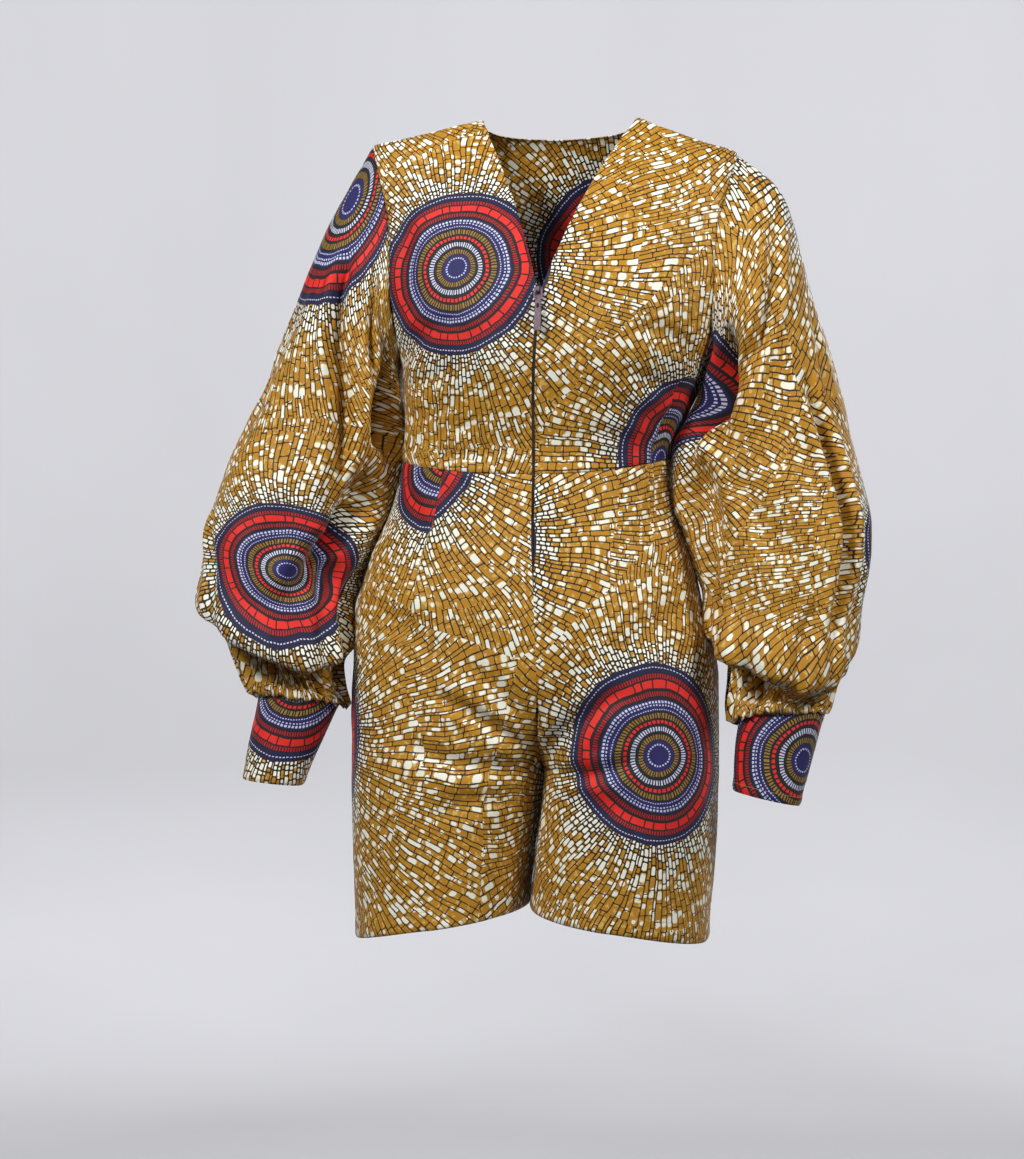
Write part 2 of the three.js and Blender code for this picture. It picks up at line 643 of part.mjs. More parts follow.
// Side view of the bridge: depth behind the hinge line, then height
function bridgePlan(plateFront) {
  const reach = PULL_BAR / 2 + PIN_CLEAR + BRIDGE.metal;
  const foot = plateFront + BRIDGE.foot;
  const plan = new THREE.Shape();
  plan.moveTo(foot, reach + BRIDGE.rise);
  plan.quadraticCurveTo(-reach, reach + BRIDGE.rise / 2, -reach, 0);
  plan.quadraticCurveTo(-reach, -reach, BRIDGE.rise - reach, -reach - BRIDGE.rise / 2);
  plan.lineTo(foot, -reach - BRIDGE.tail);
  plan.closePath();
  return plan;
}

// From a side view in the XY plane to the frame of the slider
const sideways = new THREE.Matrix4().set(0, 0, 1, 0, 1, 0, 0, 0, 0, 1, 0, 0, 0, 0, 0, 1);

function sliderGeometry() {
  const { thickness, below } = SLIDER;
  const plateFront = PULL_BAR / 2 + PIN_CLEAR;
  const plate = extruded(sliderPlan(), thickness, 4);
  plate.rotateX(Math.PI / 2).translate(0, plateFront + thickness / 2, -below / 2);
  const bridge = extruded(bridgePlan(plateFront), BRIDGE.width, 5).applyMatrix4(sideways);
  const round = new THREE.Shape().absarc(0, 0, plateFront + 0.1, 0, 2 * Math.PI, false);
  const eye = extruded(round, 2 * BRIDGE.width, 8).applyMatrix4(sideways);
  return geometryOf(solidOf(plate).add(solidOf(bridge)).subtract(solidOf(eye)));
}

// An oval ring that hangs in the bridge and the long tab below it, in one plate
function pullGeometry() {
  const { width, height, openFrom, openTo } = PULL_RING;
  const centre = PULL_BAR / 2 - height / 2;
  const tabTop = PULL_BAR / 2 - height + PULL_TAB.overlap;
  const end = tabTop - PULL_TAB.length;
  const half = PULL_TAB.width / 2;
  const outline = new THREE.Shape();
  outline.absellipse(0, centre, width / 2, height / 2, radians(openFrom), radians(openTo), false);
  outline.lineTo(-PULL_TAB.narrow / 2, tabTop - PULL_TAB.round);
  outline.lineTo(-half, end + PULL_TAB.round);
  outline.quadraticCurveTo(-half, end, -half + PULL_TAB.round, end);
  outline.lineTo(half - PULL_TAB.round, end);
  outline.quadraticCurveTo(half, end, half, end + PULL_TAB.round);
  outline.lineTo(PULL_TAB.narrow / 2, tabTop - PULL_TAB.round);
  outline.closePath();
  const eye = new THREE.Path();
  eye.absellipse(0, centre, width / 2 - PULL_BAR, height / 2 - PULL_BAR, 0, 2 * Math.PI, true);
  const slot = new THREE.Path();
  const { halfWidth, halfHeight, below } = PULL_SLOT;
  slot.absellipse(0, tabTop - below, halfWidth, halfHeight, 0, 2 * Math.PI, true);
  outline.holes.push(eye, slot);
  return geometryOf(solidOf(extruded(outline, PULL_BAR, 10).rotateX(Math.PI / 2)));
}

// Finishes
const finishes = {
  print: new THREE.MeshStandardMaterial({ color: 0xb08a3c, roughness: 0.8, metalness: 0 }),
  tape: new THREE.MeshStandardMaterial({ color: 0x5d4340, roughness: 0.85, metalness: 0 }),
  metal: new THREE.MeshStandardMaterial({ color: 0xb3a2ac, roughness: 0.32, metalness: 0.9 }),
};

const garment = new THREE.Group();
function addMesh(name, geometry, finish) {
  const mesh = new THREE.Mesh(geometry, finishes[finish]);
  mesh.name = name;
  garment.add(mesh);
  return mesh;
}

for (const piece of clothPieces()) addMesh(piece.name, wallGeometry(piece), 'print');
addMesh('zip_tape', wallGeometry({ rows: tapeRows(), closed: false }, TAPE_THICKNESS), 'tape');

// The slider sits at the top of the closed zip, with its pull hanging on the cloth
const SLIDER_DROP = V_DROP + 1;
const HINGE_AHEAD = 6.6; // hinge line in front of the cloth
const PULL_LEAN = 10; // degrees that the pull leans out to follow the chest
const hinge = [
  bodySection(SLIDER_DROP).centre,
  bodyPoint(0, SLIDER_DROP)[1] - HINGE_AHEAD,
  -SLIDER_DROP,
];
const slider = addMesh('zip_slider', sliderGeometry(), 'metal');
slider.position.set(...hinge);
slider.rotation.x = radians(-PULL_LEAN);
const pull = addMesh('zip_pull', pullGeometry(), 'metal');
pull.position.set(...hinge);
pull.rotation.x = radians(-PULL_LEAN);

export default garment;
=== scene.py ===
"""Short playsuit in wax-printed cotton, in its worn form and empty.

Metres, +Z up, front towards -Y, wearer's left at +X. Tables of the form are in millimetres
and are turned into metres where a piece's vertices are placed.
"""
import math
import random

import bmesh
import bpy
import numpy as np
from mathutils import Matrix, Vector, noise


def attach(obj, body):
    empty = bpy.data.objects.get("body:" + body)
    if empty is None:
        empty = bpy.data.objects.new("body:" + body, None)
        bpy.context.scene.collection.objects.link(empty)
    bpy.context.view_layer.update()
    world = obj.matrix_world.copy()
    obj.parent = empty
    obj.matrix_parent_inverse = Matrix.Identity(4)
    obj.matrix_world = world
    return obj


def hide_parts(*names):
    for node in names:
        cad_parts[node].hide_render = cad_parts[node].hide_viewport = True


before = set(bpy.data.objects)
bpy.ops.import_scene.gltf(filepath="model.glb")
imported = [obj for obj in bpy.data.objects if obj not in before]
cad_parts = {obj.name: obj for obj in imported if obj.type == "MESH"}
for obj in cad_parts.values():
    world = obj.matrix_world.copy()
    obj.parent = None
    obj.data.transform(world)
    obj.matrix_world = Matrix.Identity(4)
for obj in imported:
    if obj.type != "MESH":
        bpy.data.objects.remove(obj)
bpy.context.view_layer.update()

MM = 0.001
SIDES = ("left", "right")

# Cloth
CLOTH_THICKNESS = 0.0007
ROUNDNESS = 2.2

# Heights below the neck points
V_DROP = 187
BACK_NECK_DROP = 12
UNDERARM_DROP = 245
WAIST_SIDE_DROP = 352
WAIST_FRONT_DIP = 18
RISE_START_DROP = 560
CROTCH_DROP = 665
HEM_DROP = 827
HEM_TILT = 16
LOWEST_DROP = 860

# Zip
ZIP_OPEN_GAP = 3
ZIP_CLOSE_FROM_DROP = 440
ZIP_END_DROP = 500

# Steps of each panel's net
PANEL_COLUMNS = 60
PANEL_ROWS = 112
BACK_COLUMNS = 120
SLEEVE_COLUMNS = 240
SLEEVE_ROWS = 150
CUFF_COLUMNS = 150
CUFF_ROWS = 36

BODY_ROWS = [
    # drop, centre, left, right, front, back
    (0, 0, 80, -80, 3, 48),
    (8, 0, 99, -116, 14, 58),
    (16, 0, 118, -152, 22, 64),
    (26, -1, 142, -196, 31, 71),
    (43, -1, 183, -200, 44, 79),
    (60, -2, 189, -201, 55, 85),
    (90, -3, 191, -199, 72, 93),
    (140, -5, 188, -194, 96, 101),
    (187, -7, 182, -187, 112, 103),
    (215, -9, 173, -177, 117, 101),
    (245, -11, 162, -165, 117, 97),
    (300, -14, 135, -161, 106, 86),
    (352, -15, 114, -163, 95, 76),
    (404, -15, 118, -174, 100, 90),
    (455, -14, 135, -198, 108, 108),
    (517, -12, 151, -213, 113, 120),
    (579, -10, 163, -215, 113, 123),
    (665, -14, 162, -216, 108, 118),
    (754, -26, 158, -213, 103, 110),
    (850, -35, 152, -211, 101, 107),
]
SHOULDER_TIP_DROP = {"left": 43, "right": 26}

SLEEVE_RINGS = {
    # along, outer x, outer drop, inner x, inner drop, middle y, depth
    "right": [
        (0.00, -196, 26, -165, 245, 0, 60),
        (0.08, -228, 80, -166.5, 262, 2, 64),
        (0.17, -252, 127, -165.5, 282, 3, 68),
        (0.26, -271, 178, -164.5, 303, 4, 72),
        (0.35, -291, 230, -165, 326, 4, 75),
        (0.44, -311, 281, -167, 350, 3, 78),
        (0.53, -329, 318, -171.5, 378, 1, 80),
        (0.62, -345, 354, -182, 408, -3, 81),
        (0.70, -359, 395, -196, 438, -7, 81),
        (0.78, -368, 431, -209, 470, -12, 79),
        (0.85, -369, 478, -218, 506, -17, 75),
        (0.90, -362, 515, -221, 540, -21, 70),
        (0.94, -346, 548, -222, 570, -25, 62),
        (0.97, -328, 575, -220, 592, -28, 52),
        (0.985, -315, 591, -219, 605, -30, 44),
        (1.00, -308, 589.5, -222.5, 597.5, -30, 37.5),
    ],
    "left": [
        (0.00, 183, 43, 162, 245, 0, 60),
        (0.08, 222, 74, 159, 262, 2, 64),
        (0.17, 238, 110, 148.5, 281, 4, 68),
        (0.26, 250, 151, 138, 301, 6, 72),
        (0.35, 261, 198, 127.5, 322, 8, 75),
        (0.44, 276, 244, 119, 346, 8, 78),
        (0.53, 289, 290, 118, 372, 8, 80),
        (0.62, 299, 337, 121, 398, 6, 82),
        (0.70, 309, 378, 128, 425, 2, 83),
        (0.78, 318, 420, 140, 458, -3, 82),
        (0.85, 314, 471, 151, 494, -9, 78),
        (0.90, 304, 513, 159, 527, -14, 73),
        (0.94, 291, 551, 166, 562, -19, 65),
        (0.97, 281, 588, 171, 597, -24, 54),
        (0.985, 275, 607, 177, 619, -28, 45),
        (1.00, 272, 608.5, 187.5, 602.5, -30, 37.5),
    ],
}
CUFF_RINGS = {
    "right": [
        (0, -307.5, 590, -223, 598, -30, 37),
        (0.5, -317, 635, -244, 643, -34, 33),
        (1, -325, 680, -262, 687, -38, 30),
    ],
    "left": [
        (0, 271.5, 609, 188, 603, -30, 37),
        (0.5, 259, 657, 182, 645, -34, 33),
        (1, 247, 702, 180, 687, -38, 30),
    ],
}


# ---------------------------------------------------------------- small helpers

def lerp(a, b, t):
    return a + (b - a) * t


def clamp(t):
    return min(1.0, max(0.0, t))


def smooth(t):
    t = clamp(t)
    return t * t * (3 - 2 * t)


def root_power(value, roundness):
    return math.copysign(abs(value) ** (2 / roundness), value)


def sign_of(side):
    return 1 if side == "left" else -1


class SmoothTable:
    """Rows keyed by their first column. Between rows every column follows a smooth curve."""

    def __init__(self, rows):
        self.rows = rows
        self.keys = [row[0] for row in rows]
        self.steps = [after - before for before, after in zip(self.keys, self.keys[1:])]
        self.slopes = [self.slopes_of(column) for column in range(1, len(rows[0]))]

    def slopes_of(self, column):
        secants = [
            (after[column] - before[column]) / step
            for before, after, step in zip(self.rows, self.rows[1:], self.steps)
        ]
        slopes = []
        for index in range(len(self.rows)):
            before = secants[max(0, index - 1)]
            after = secants[min(len(secants) - 1, index)]
            turning = before * after <= 0
            slopes.append(0 if turning else 2 * before * after / (before + after))
        return slopes

    def __call__(self, key):
        index = 0
        while index < len(self.steps) - 1 and self.keys[index + 1] <= key:
            index += 1
        step = self.steps[index]
        t = (key - self.keys[index]) / step
        start = self.rows[index]
        end = self.rows[index + 1]
        values = []
        for column, slopes in enumerate(self.slopes, 1):
            rise = slopes[index] * step
            fall = slopes[index + 1] * step
            if t < 0:
                values.append(start[column] + rise * t)
            elif t > 1:
                values.append(end[column] + fall * (t - 1))
            else:
                values.append(
                    start[column] * (1 + 2 * t) * (1 - t) ** 2
                    + end[column] * t * t * (3 - 2 * t)
                    + rise * t * (1 - t) ** 2
                    - fall * t * t * (1 - t)
                )
        return values


body_section = SmoothTable(BODY_ROWS)
sleeve_ring = {side: SmoothTable(SLEEVE_RINGS[side]) for side in SIDES}
cuff_ring = {side: SmoothTable(CUFF_RINGS[side]) for side in SIDES}


# ---------------------------------------------------------------- form of the trunk

def body_point(angle, drop):
    """Angle from the centre front, + to the wearer's left; 90 is the side, 180 the centre back."""
    centre, left, right, front, back = body_section(drop)
    sine = root_power(math.sin(math.radians(angle)), ROUNDNESS)
    cosine = root_power(math.cos(math.radians(angle)), ROUNDNESS)
    side = left if sine > 0 else right
    x = centre + abs(sine) * (side - centre)
    y = -front * cosine if cosine > 0 else -back * cosine
    return Vector((x, y, -drop))


def angle_at(distance, drop, side):
    centre, left, right, front, back = body_section(drop)
    reach = abs((left if side == "left" else right) - centre)
    return math.degrees(math.asin(clamp(distance / reach) ** (ROUNDNESS / 2)))


def level_length(angle, drop):
    """Length round the trunk from the centre front or back to an angle, at one level."""
    centre, left, right, front, back = body_section(drop)
    start = 0 if abs(angle) <= 90 else math.copysign(180, angle)
    turns = np.radians(np.linspace(start, angle, 33))
    sines = np.sign(np.sin(turns)) * np.abs(np.sin(turns)) ** (2 / ROUNDNESS)
    cosines = np.abs(np.cos(turns)) ** (2 / ROUNDNESS)
    reach = (left if angle > 0 else right) - centre
    depth = front if abs(angle) <= 90 else back
    steps = np.hypot(np.diff(np.abs(sines) * reach), np.diff(cosines * depth))
    return float(steps.sum())


def meridian_table(column):
    """Length down the centre front (3) or back (4), from the neck points to each drop."""
    lengths = [0.0]
    for drop in range(LOWEST_DROP):
        slope = body_section(drop + 0.5)[column] - body_section(drop - 0.5)[column]
        lengths.append(lengths[-1] + math.hypot(1, slope))
    return lengths


meridians = {"front": meridian_table(3), "back": meridian_table(4)}


def meridian_length(half, drop):
    place = max(0.0, drop)
    whole = int(place)
    table = meridians[half]
    return lerp(table[whole], table[whole + 1], place - whole)


FRONT_ARMHOLE_CUT = 31  # degrees round the trunk, where the armhole cuts in furthest
BACK_ARMHOLE_CUT = 26
ARMHOLE_POWER = 0.8
WAIST_POWER = 1.5
SIDE_SHARE = 7 / 19  # share of a panel's rows that lie beside the side seam


def armhole_at(side, t, cut):
    drop = lerp(UNDERARM_DROP, SHOULDER_TIP_DROP[side], (1 - math.cos(math.pi * t)) / 2)
    return 90 - cut * abs(math.sin(math.pi * t)) ** ARMHOLE_POWER, drop


def waist_drop_at(angle):
    return WAIST_SIDE_DROP + WAIST_FRONT_DIP * max(0.0, math.cos(math.radians(angle))) ** WAIST_POWER


def outer_edge(side, up, cut):
    if up > SIDE_SHARE:
        return armhole_at(side, (up - SIDE_SHARE) / (1 - SIDE_SHARE), cut)
    return 90, lerp(WAIST_SIDE_DROP, UNDERARM_DROP, up / SIDE_SHARE)


def zip_half_gap(drop):
    closing = smooth((drop - ZIP_CLOSE_FROM_DROP) / (ZIP_END_DROP - ZIP_CLOSE_FROM_DROP))
    return lerp(ZIP_OPEN_GAP / 2, 0, closing)


NECK_STARTS_AT = 0.47
NECK_HOLLOW = 6

# Powers that keep an edge's own curve close to that edge
WAIST_CURVE_POWER = 6
NECK_TURN_POWER = 7
NECK_DIP_POWER = 4


def inner_edge(side, up):
    if up <= NECK_STARTS_AT:
        drop = lerp(waist_drop_at(0), V_DROP, up / NECK_STARTS_AT)
        return angle_at(zip_half_gap(drop), drop, side), drop
    climb = (up - NECK_STARTS_AT) / (1 - NECK_STARTS_AT)
    drop = lerp(V_DROP, 0, climb)
    reach = abs(body_section(0)[1 if side == "left" else 2])
    distance = lerp(zip_half_gap(V_DROP), reach, climb) - NECK_HOLLOW * math.sin(math.pi * climb)
    return (90 if climb >= 1 else angle_at(distance, drop, side)), drop


def front_place(side):
    def place(across, up):
        inner_angle, inner_drop = inner_edge(side, up)
        outer_angle, outer_drop = outer_edge(side, up, FRONT_ARMHOLE_CUT)
        angle = lerp(inner_angle, outer_angle, across)
        level = lerp(inner_drop, outer_drop, across)
        seam = waist_drop_at(angle) - lerp(waist_drop_at(0), WAIST_SIDE_DROP, across)
        return sign_of(side) * angle, level + seam * (1 - up) ** WAIST_CURVE_POWER
    return place


BACK_NECK_SHARE = 4 / 13


def back_top_edge(side, across):
    if across <= BACK_NECK_SHARE:
        turn = across / BACK_NECK_SHARE
        return 180 - 90 * turn, BACK_NECK_DROP * math.cos(math.pi * turn / 2) ** 2
    along = (across - BACK_NECK_SHARE) / (1 - BACK_NECK_SHARE)
    return 90, SHOULDER_TIP_DROP[side] * along


def back_place(signed_across, up):
    side = "right" if signed_across < 0 else "left"
    across = abs(signed_across)
    top_angle, top_drop = back_top_edge(side, across)
    outer_angle, outer_drop = outer_edge(side, up, -BACK_ARMHOLE_CUT)
    share = lerp(across, (180 - top_angle) / 90, up ** NECK_TURN_POWER)
    middle_drop = lerp(WAIST_SIDE_DROP, BACK_NECK_DROP, up)
    straight_top = lerp(BACK_NECK_DROP, SHOULDER_TIP_DROP[side], across)
    drop = lerp(middle_drop, outer_drop, across)
    drop += (top_drop - straight_top) * up ** NECK_DIP_POWER
    return sign_of(side) * lerp(180, outer_angle, share), drop


# ---------------------------------------------------------------- form of the shorts

LEG_MIDDLE_Y = 6
INSEAM_GAP_AT_HEM = 5
OUTER_BLEND_FROM = 500
OUTER_BLEND_TO = 740
TRUNK_SHARE = 6 / 17
RISE_SHARE = 6 / 17
INSEAM_SHARE = 0.45  # share of a panel's columns that turn in to the inseam
ACROSS_POWER = 1.6
LEG_ROUNDNESS = ROUNDNESS + 0.2


def leg_point(side, half, across, drop):
    centre, left, right, front, back = body_section(drop)
    below = clamp((drop - CROTCH_DROP) / (HEM_DROP - CROTCH_DROP))
    inner = centre + sign_of(side) * below * INSEAM_GAP_AT_HEM / 2
    outer = left if side == "left" else right
    turn = math.radians(-90 + 180 * across)
    half_width = abs(outer - inner) / 2
    x = (inner + outer) / 2 + sign_of(side) * half_width * root_power(math.sin(turn), LEG_ROUNDNESS)
    reach = max(0.0, math.cos(turn)) ** (2 / LEG_ROUNDNESS)
    y = -front * reach if half == "front" else back * reach
    return Vector((x, y + LEG_MIDDLE_Y * (1 - reach), -drop))


def leg_share(across, drop):
    rise = clamp((drop - RISE_START_DROP) / (CROTCH_DROP - RISE_START_DROP))
    at_inseam = 1 - math.sqrt(1 - rise * rise)
    outside = smooth((drop - OUTER_BLEND_FROM) / (OUTER_BLEND_TO - OUTER_BLEND_FROM))
    return lerp(at_inseam, outside, smooth(across / INSEAM_SHARE))


def shorts_drop(across, down, angle):
    if down <= TRUNK_SHARE:
        return lerp(waist_drop_at(angle), RISE_START_DROP, down / TRUNK_SHARE)
    if down <= TRUNK_SHARE + RISE_SHARE:
        turn = (down - TRUNK_SHARE) / RISE_SHARE * math.pi / 2
        return lerp(RISE_START_DROP, CROTCH_DROP, math.sin(turn))
    hem = HEM_DROP - HEM_TILT * math.cos(math.pi * across)
    return lerp(CROTCH_DROP, hem, (down - TRUNK_SHARE - RISE_SHARE) / (1 - TRUNK_SHARE - RISE_SHARE))


def shorts_surface(side, half):
    def surface(across, down):
        angle = 90 * across ** ACROSS_POWER
        drop = shorts_drop(across, down, angle if half == "front" else 180 - angle)
        start = angle_at(zip_half_gap(drop), drop, side) if half == "front" else 0
        opened = start + (90 - start) * across ** ACROSS_POWER
        trunk = body_point(sign_of(side) * (opened if half == "front" else 180 - opened), drop)
        return trunk.lerp(leg_point(side, half, across, drop), leg_share(across, drop))
    return surface


# ---------------------------------------------------------------- form of the sleeves

SLEEVE_HEAD_ENDS = 0.3
SLEEVE_HEAD_ROUNDNESS = 2
SLEEVE_ROUNDNESS = 2.4
WRIST_STARTS = 0.9
WRIST_SHARE = 0.1
WRIST_ROUNDING = 0.3
CUFF_ROUNDNESS = 2.1


def ring_point(ring, angle, roundness):
    outer_x, outer_drop, inner_x, inner_drop, middle_y, depth = ring
    outward = (1 + root_power(math.cos(math.radians(angle)), roundness)) / 2
    forward = root_power(math.sin(math.radians(angle)), roundness)
    x = lerp(inner_x, outer_x, outward)
    drop = lerp(inner_drop, outer_drop, outward)
    return Vector((x, middle_y - forward * depth, -drop))


def degrees_apart(angle, other):
    """How far one angle round a sleeve lies from another, -180 to 180."""
    return (angle - other + 540) % 360 - 180


def armhole_point(side, angle):
    in_front = angle <= 180
    t = 1 - (angle if in_front else 360 - angle) / 180
    edge_angle, drop = armhole_at(side, t, FRONT_ARMHOLE_CUT if in_front else -BACK_ARMHOLE_CUT)
    return body_point(sign_of(side) * edge_angle, drop)


def sleeve_surface(side):
    def surface(turn, along):
        angle = (turn * 360) % 360
        full = smooth(along / SLEEVE_HEAD_ENDS)
        wrist = smooth((along - WRIST_STARTS) / WRIST_SHARE)
        roundness = lerp(SLEEVE_HEAD_ROUNDNESS, SLEEVE_ROUNDNESS, full) - WRIST_ROUNDING * wrist
        point = ring_point(sleeve_ring[side](along), angle, roundness)
        if along < SLEEVE_HEAD_ENDS:
            first = ring_point(sleeve_ring[side](0), angle, SLEEVE_HEAD_ROUNDNESS)
            point = point + (armhole_point(side, angle) - first) * (1 - full)
        return point
    return surface


def cuff_surface(side):
    def surface(turn, along):
        return ring_point(cuff_ring[side](along), turn * 360, CUFF_ROUNDNESS)
    return surface


# ---------------------------------------------------------------- creases listed one by one

# A crease runs from one place of the panel to another, in mm sideways and down from the
# neck points. It bows to one side, and is a trough between two soft rises; a negative
# depth is a ridge between two troughs.
CREASES = {
    "bodice_front_right": [
        # x, drop, x, drop, bow, half width, depth
        (-162, 262, -96, 214, -8, 9, 2.6),
        (-160, 280, -84, 256, 6, 8, 2.0),
        (-158, 312, -92, 300, 4, 9, 1.8),
        (-150, 340, -60, 322, -5, 8, 1.6),
        (-118, 352, -30, 334, 6, 10, 1.4),
        (-60, 150, -30, 240, 10, 14, 1.6),
        (-170, 90, -150, 190, -10, 12, 2.4),
        (-120, 30, -150, 110, 6, 12, 1.8),
        (-24, 230, -22, 330, 3, 6, 1.0),
    ],
    "bodice_front_left": [
        (152, 262, 88, 224, 8, 9, 2.6),
        (140, 286, 72, 262, -6, 8, 2.2),
        (126, 318, 60, 300, -4, 9, 1.8),
        (110, 345, 30, 330, 5, 8, 1.5),
        (86, 352, 12, 340, -6, 10, 1.3),
        (40, 150, 18, 240, -10, 14, 1.6),
        (164, 100, 140, 200, 10, 12, 2.6),
        (110, 40, 140, 120, -6, 12, 1.8),
        (6, 226, 4, 330, -3, 6, 1.0),
    ],
    "bodice_back": [
        (-160, 262, -80, 205, -8, 10, 2.8),
        (150, 262, 70, 210, 8, 10, 2.8),
        (-150, 305, -40, 285, 6, 9, 2.2),
        (140, 300, 30, 318, -6, 9, 2.2),
        (-120, 342, 90, 334, 8, 9, 2.0),
        (-70, 40, -40, 150, 8, 16, 2.2),
        (60, 40, 36, 160, -8, 16, 2.2),
        (-20, 120, -24, 300, 10, 16, 1.8),
        (-165, 100, -140, 200, 8, 13, 2.6),
        (158, 110, 130, 205, -8, 13, 2.6),
    ],
    "shorts_front_right": [
        (-26, 646, -120, 588, 5, 7, 6.0),
        (-20, 664, -150, 636, -10, 10, 4.2),
        (-30, 690, -130, 720, 8, 10, 2.2),
        (-196, 500, -110, 560, -10, 12, 2.4),
        (-30, 610, -84, 560, 6, 8, 2.6),
        (-160, 372, -120, 430, 6, 9, 1.6),
        (-96, 700, -104, 822, 8, 16, 2.6),
        (-170, 690, -180, 822, -6, 15, 2.4),
        (-44, 380, -36, 520, 6, 12, 1.4),
        (-90, 368, -80, 420, -3, 5, 1.6),
    ],
    "shorts_front_left": [
        (-2, 660, 80, 584, -8, 10, 6.5),
        (2, 668, 96, 648, 10, 8, 4.5),
        (6, 640, 22, 560, 6, 8, 2.6),
        (30, 690, 110, 730, -8, 11, 2.2),
        (144, 500, 70, 560, 10, 12, 2.4),
        (112, 372, 84, 440, -6, 9, 1.8),
        (60, 700, 54, 822, 8, 16, 2.6),
        (120, 690, 128, 822, -6, 15, 2.4),
        (16, 380, 10, 500, -6, 12, 1.4),
    ],
    "shorts_back_right": [
        (-14, 640, -120, 700, 10, 10, 3.6),
        (-20, 610, -150, 640, -10, 11, 3.0),
        (-150, 372, -120, 460, -8, 11, 2.2),
        (-60, 366, -50, 450, 6, 9, 2.0),
        (-110, 700, -104, 822, 8, 16, 2.6),
        (-176, 660, -168, 822, -6, 15, 2.4),
        (-40, 500, -100, 590, 8, 14, 2.2),
    ],
    "shorts_back_left": [
        (-8, 640, 80, 704, -10, 10, 3.6),
        (-4, 612, 110, 636, 10, 11, 3.0),
        (108, 372, 84, 456, 8, 11, 2.2),
        (30, 366, 24, 450, -6, 9, 2.0),
        (62, 700, 56, 822, 8, 16, 2.6),
        (128, 660, 122, 822, -6, 15, 2.4),
        (16, 500, 70, 590, -8, 14, 2.2),
    ],
}


CREASE_REACH = 4  # in half widths of the crease, as is the next
CREASE_RISES_AT = 1.9
CREASE_RISE = 0.45  # of the depth
CREASE_END_POWER = 0.6


def crease_lift(row, x, drop):
    x0, drop0, x1, drop1, bow, half_width, depth = row
    run_x = x1 - x0
    run_drop = drop1 - drop0
    length = math.hypot(run_x, run_drop)
    t = ((x - x0) * run_x + (drop - drop0) * run_drop) / (length * length)
    if t <= 0 or t >= 1:
        return 0.0
    aside = ((x - x0) * -run_drop + (drop - drop0) * run_x) / length
    away = (aside - bow * 4 * t * (1 - t)) / half_width
    if abs(away) > CREASE_REACH:
        return 0.0
    trough = math.exp(-away * away)
    rises = math.exp(-((abs(away) - CREASE_RISES_AT) ** 2))
    return depth * (CREASE_RISE * rises - trough) * math.sin(math.pi * t) ** CREASE_END_POWER


# Slow unevenness of the hanging cloth: size and height, in mm
TRUNK_WAVES = (70, 1.6)
TRUNK_RIPPLES = (24, 0.7)
SLEEVE_WAVES = (60, 2.4)
SLEEVE_RIPPLES = (22, 0.8)
CUFF_WAVES = (26, 0.8)
ELSEWHERE = Vector((500, 0, 0))  # sets the trunk's ripples apart from its waves


def soft_waves(point, size, height):
    return height * noise.noise(Vector(point) / size)


def trunk_lift(name):
    rows = CREASES[name]

    def lift(across, up, point):
        total = sum(crease_lift(row, point[0], -point[2]) for row in rows)
        total += soft_waves(point, *TRUNK_WAVES) + soft_waves(point + ELSEWHERE, *TRUNK_RIPPLES)
        return total
    return lift


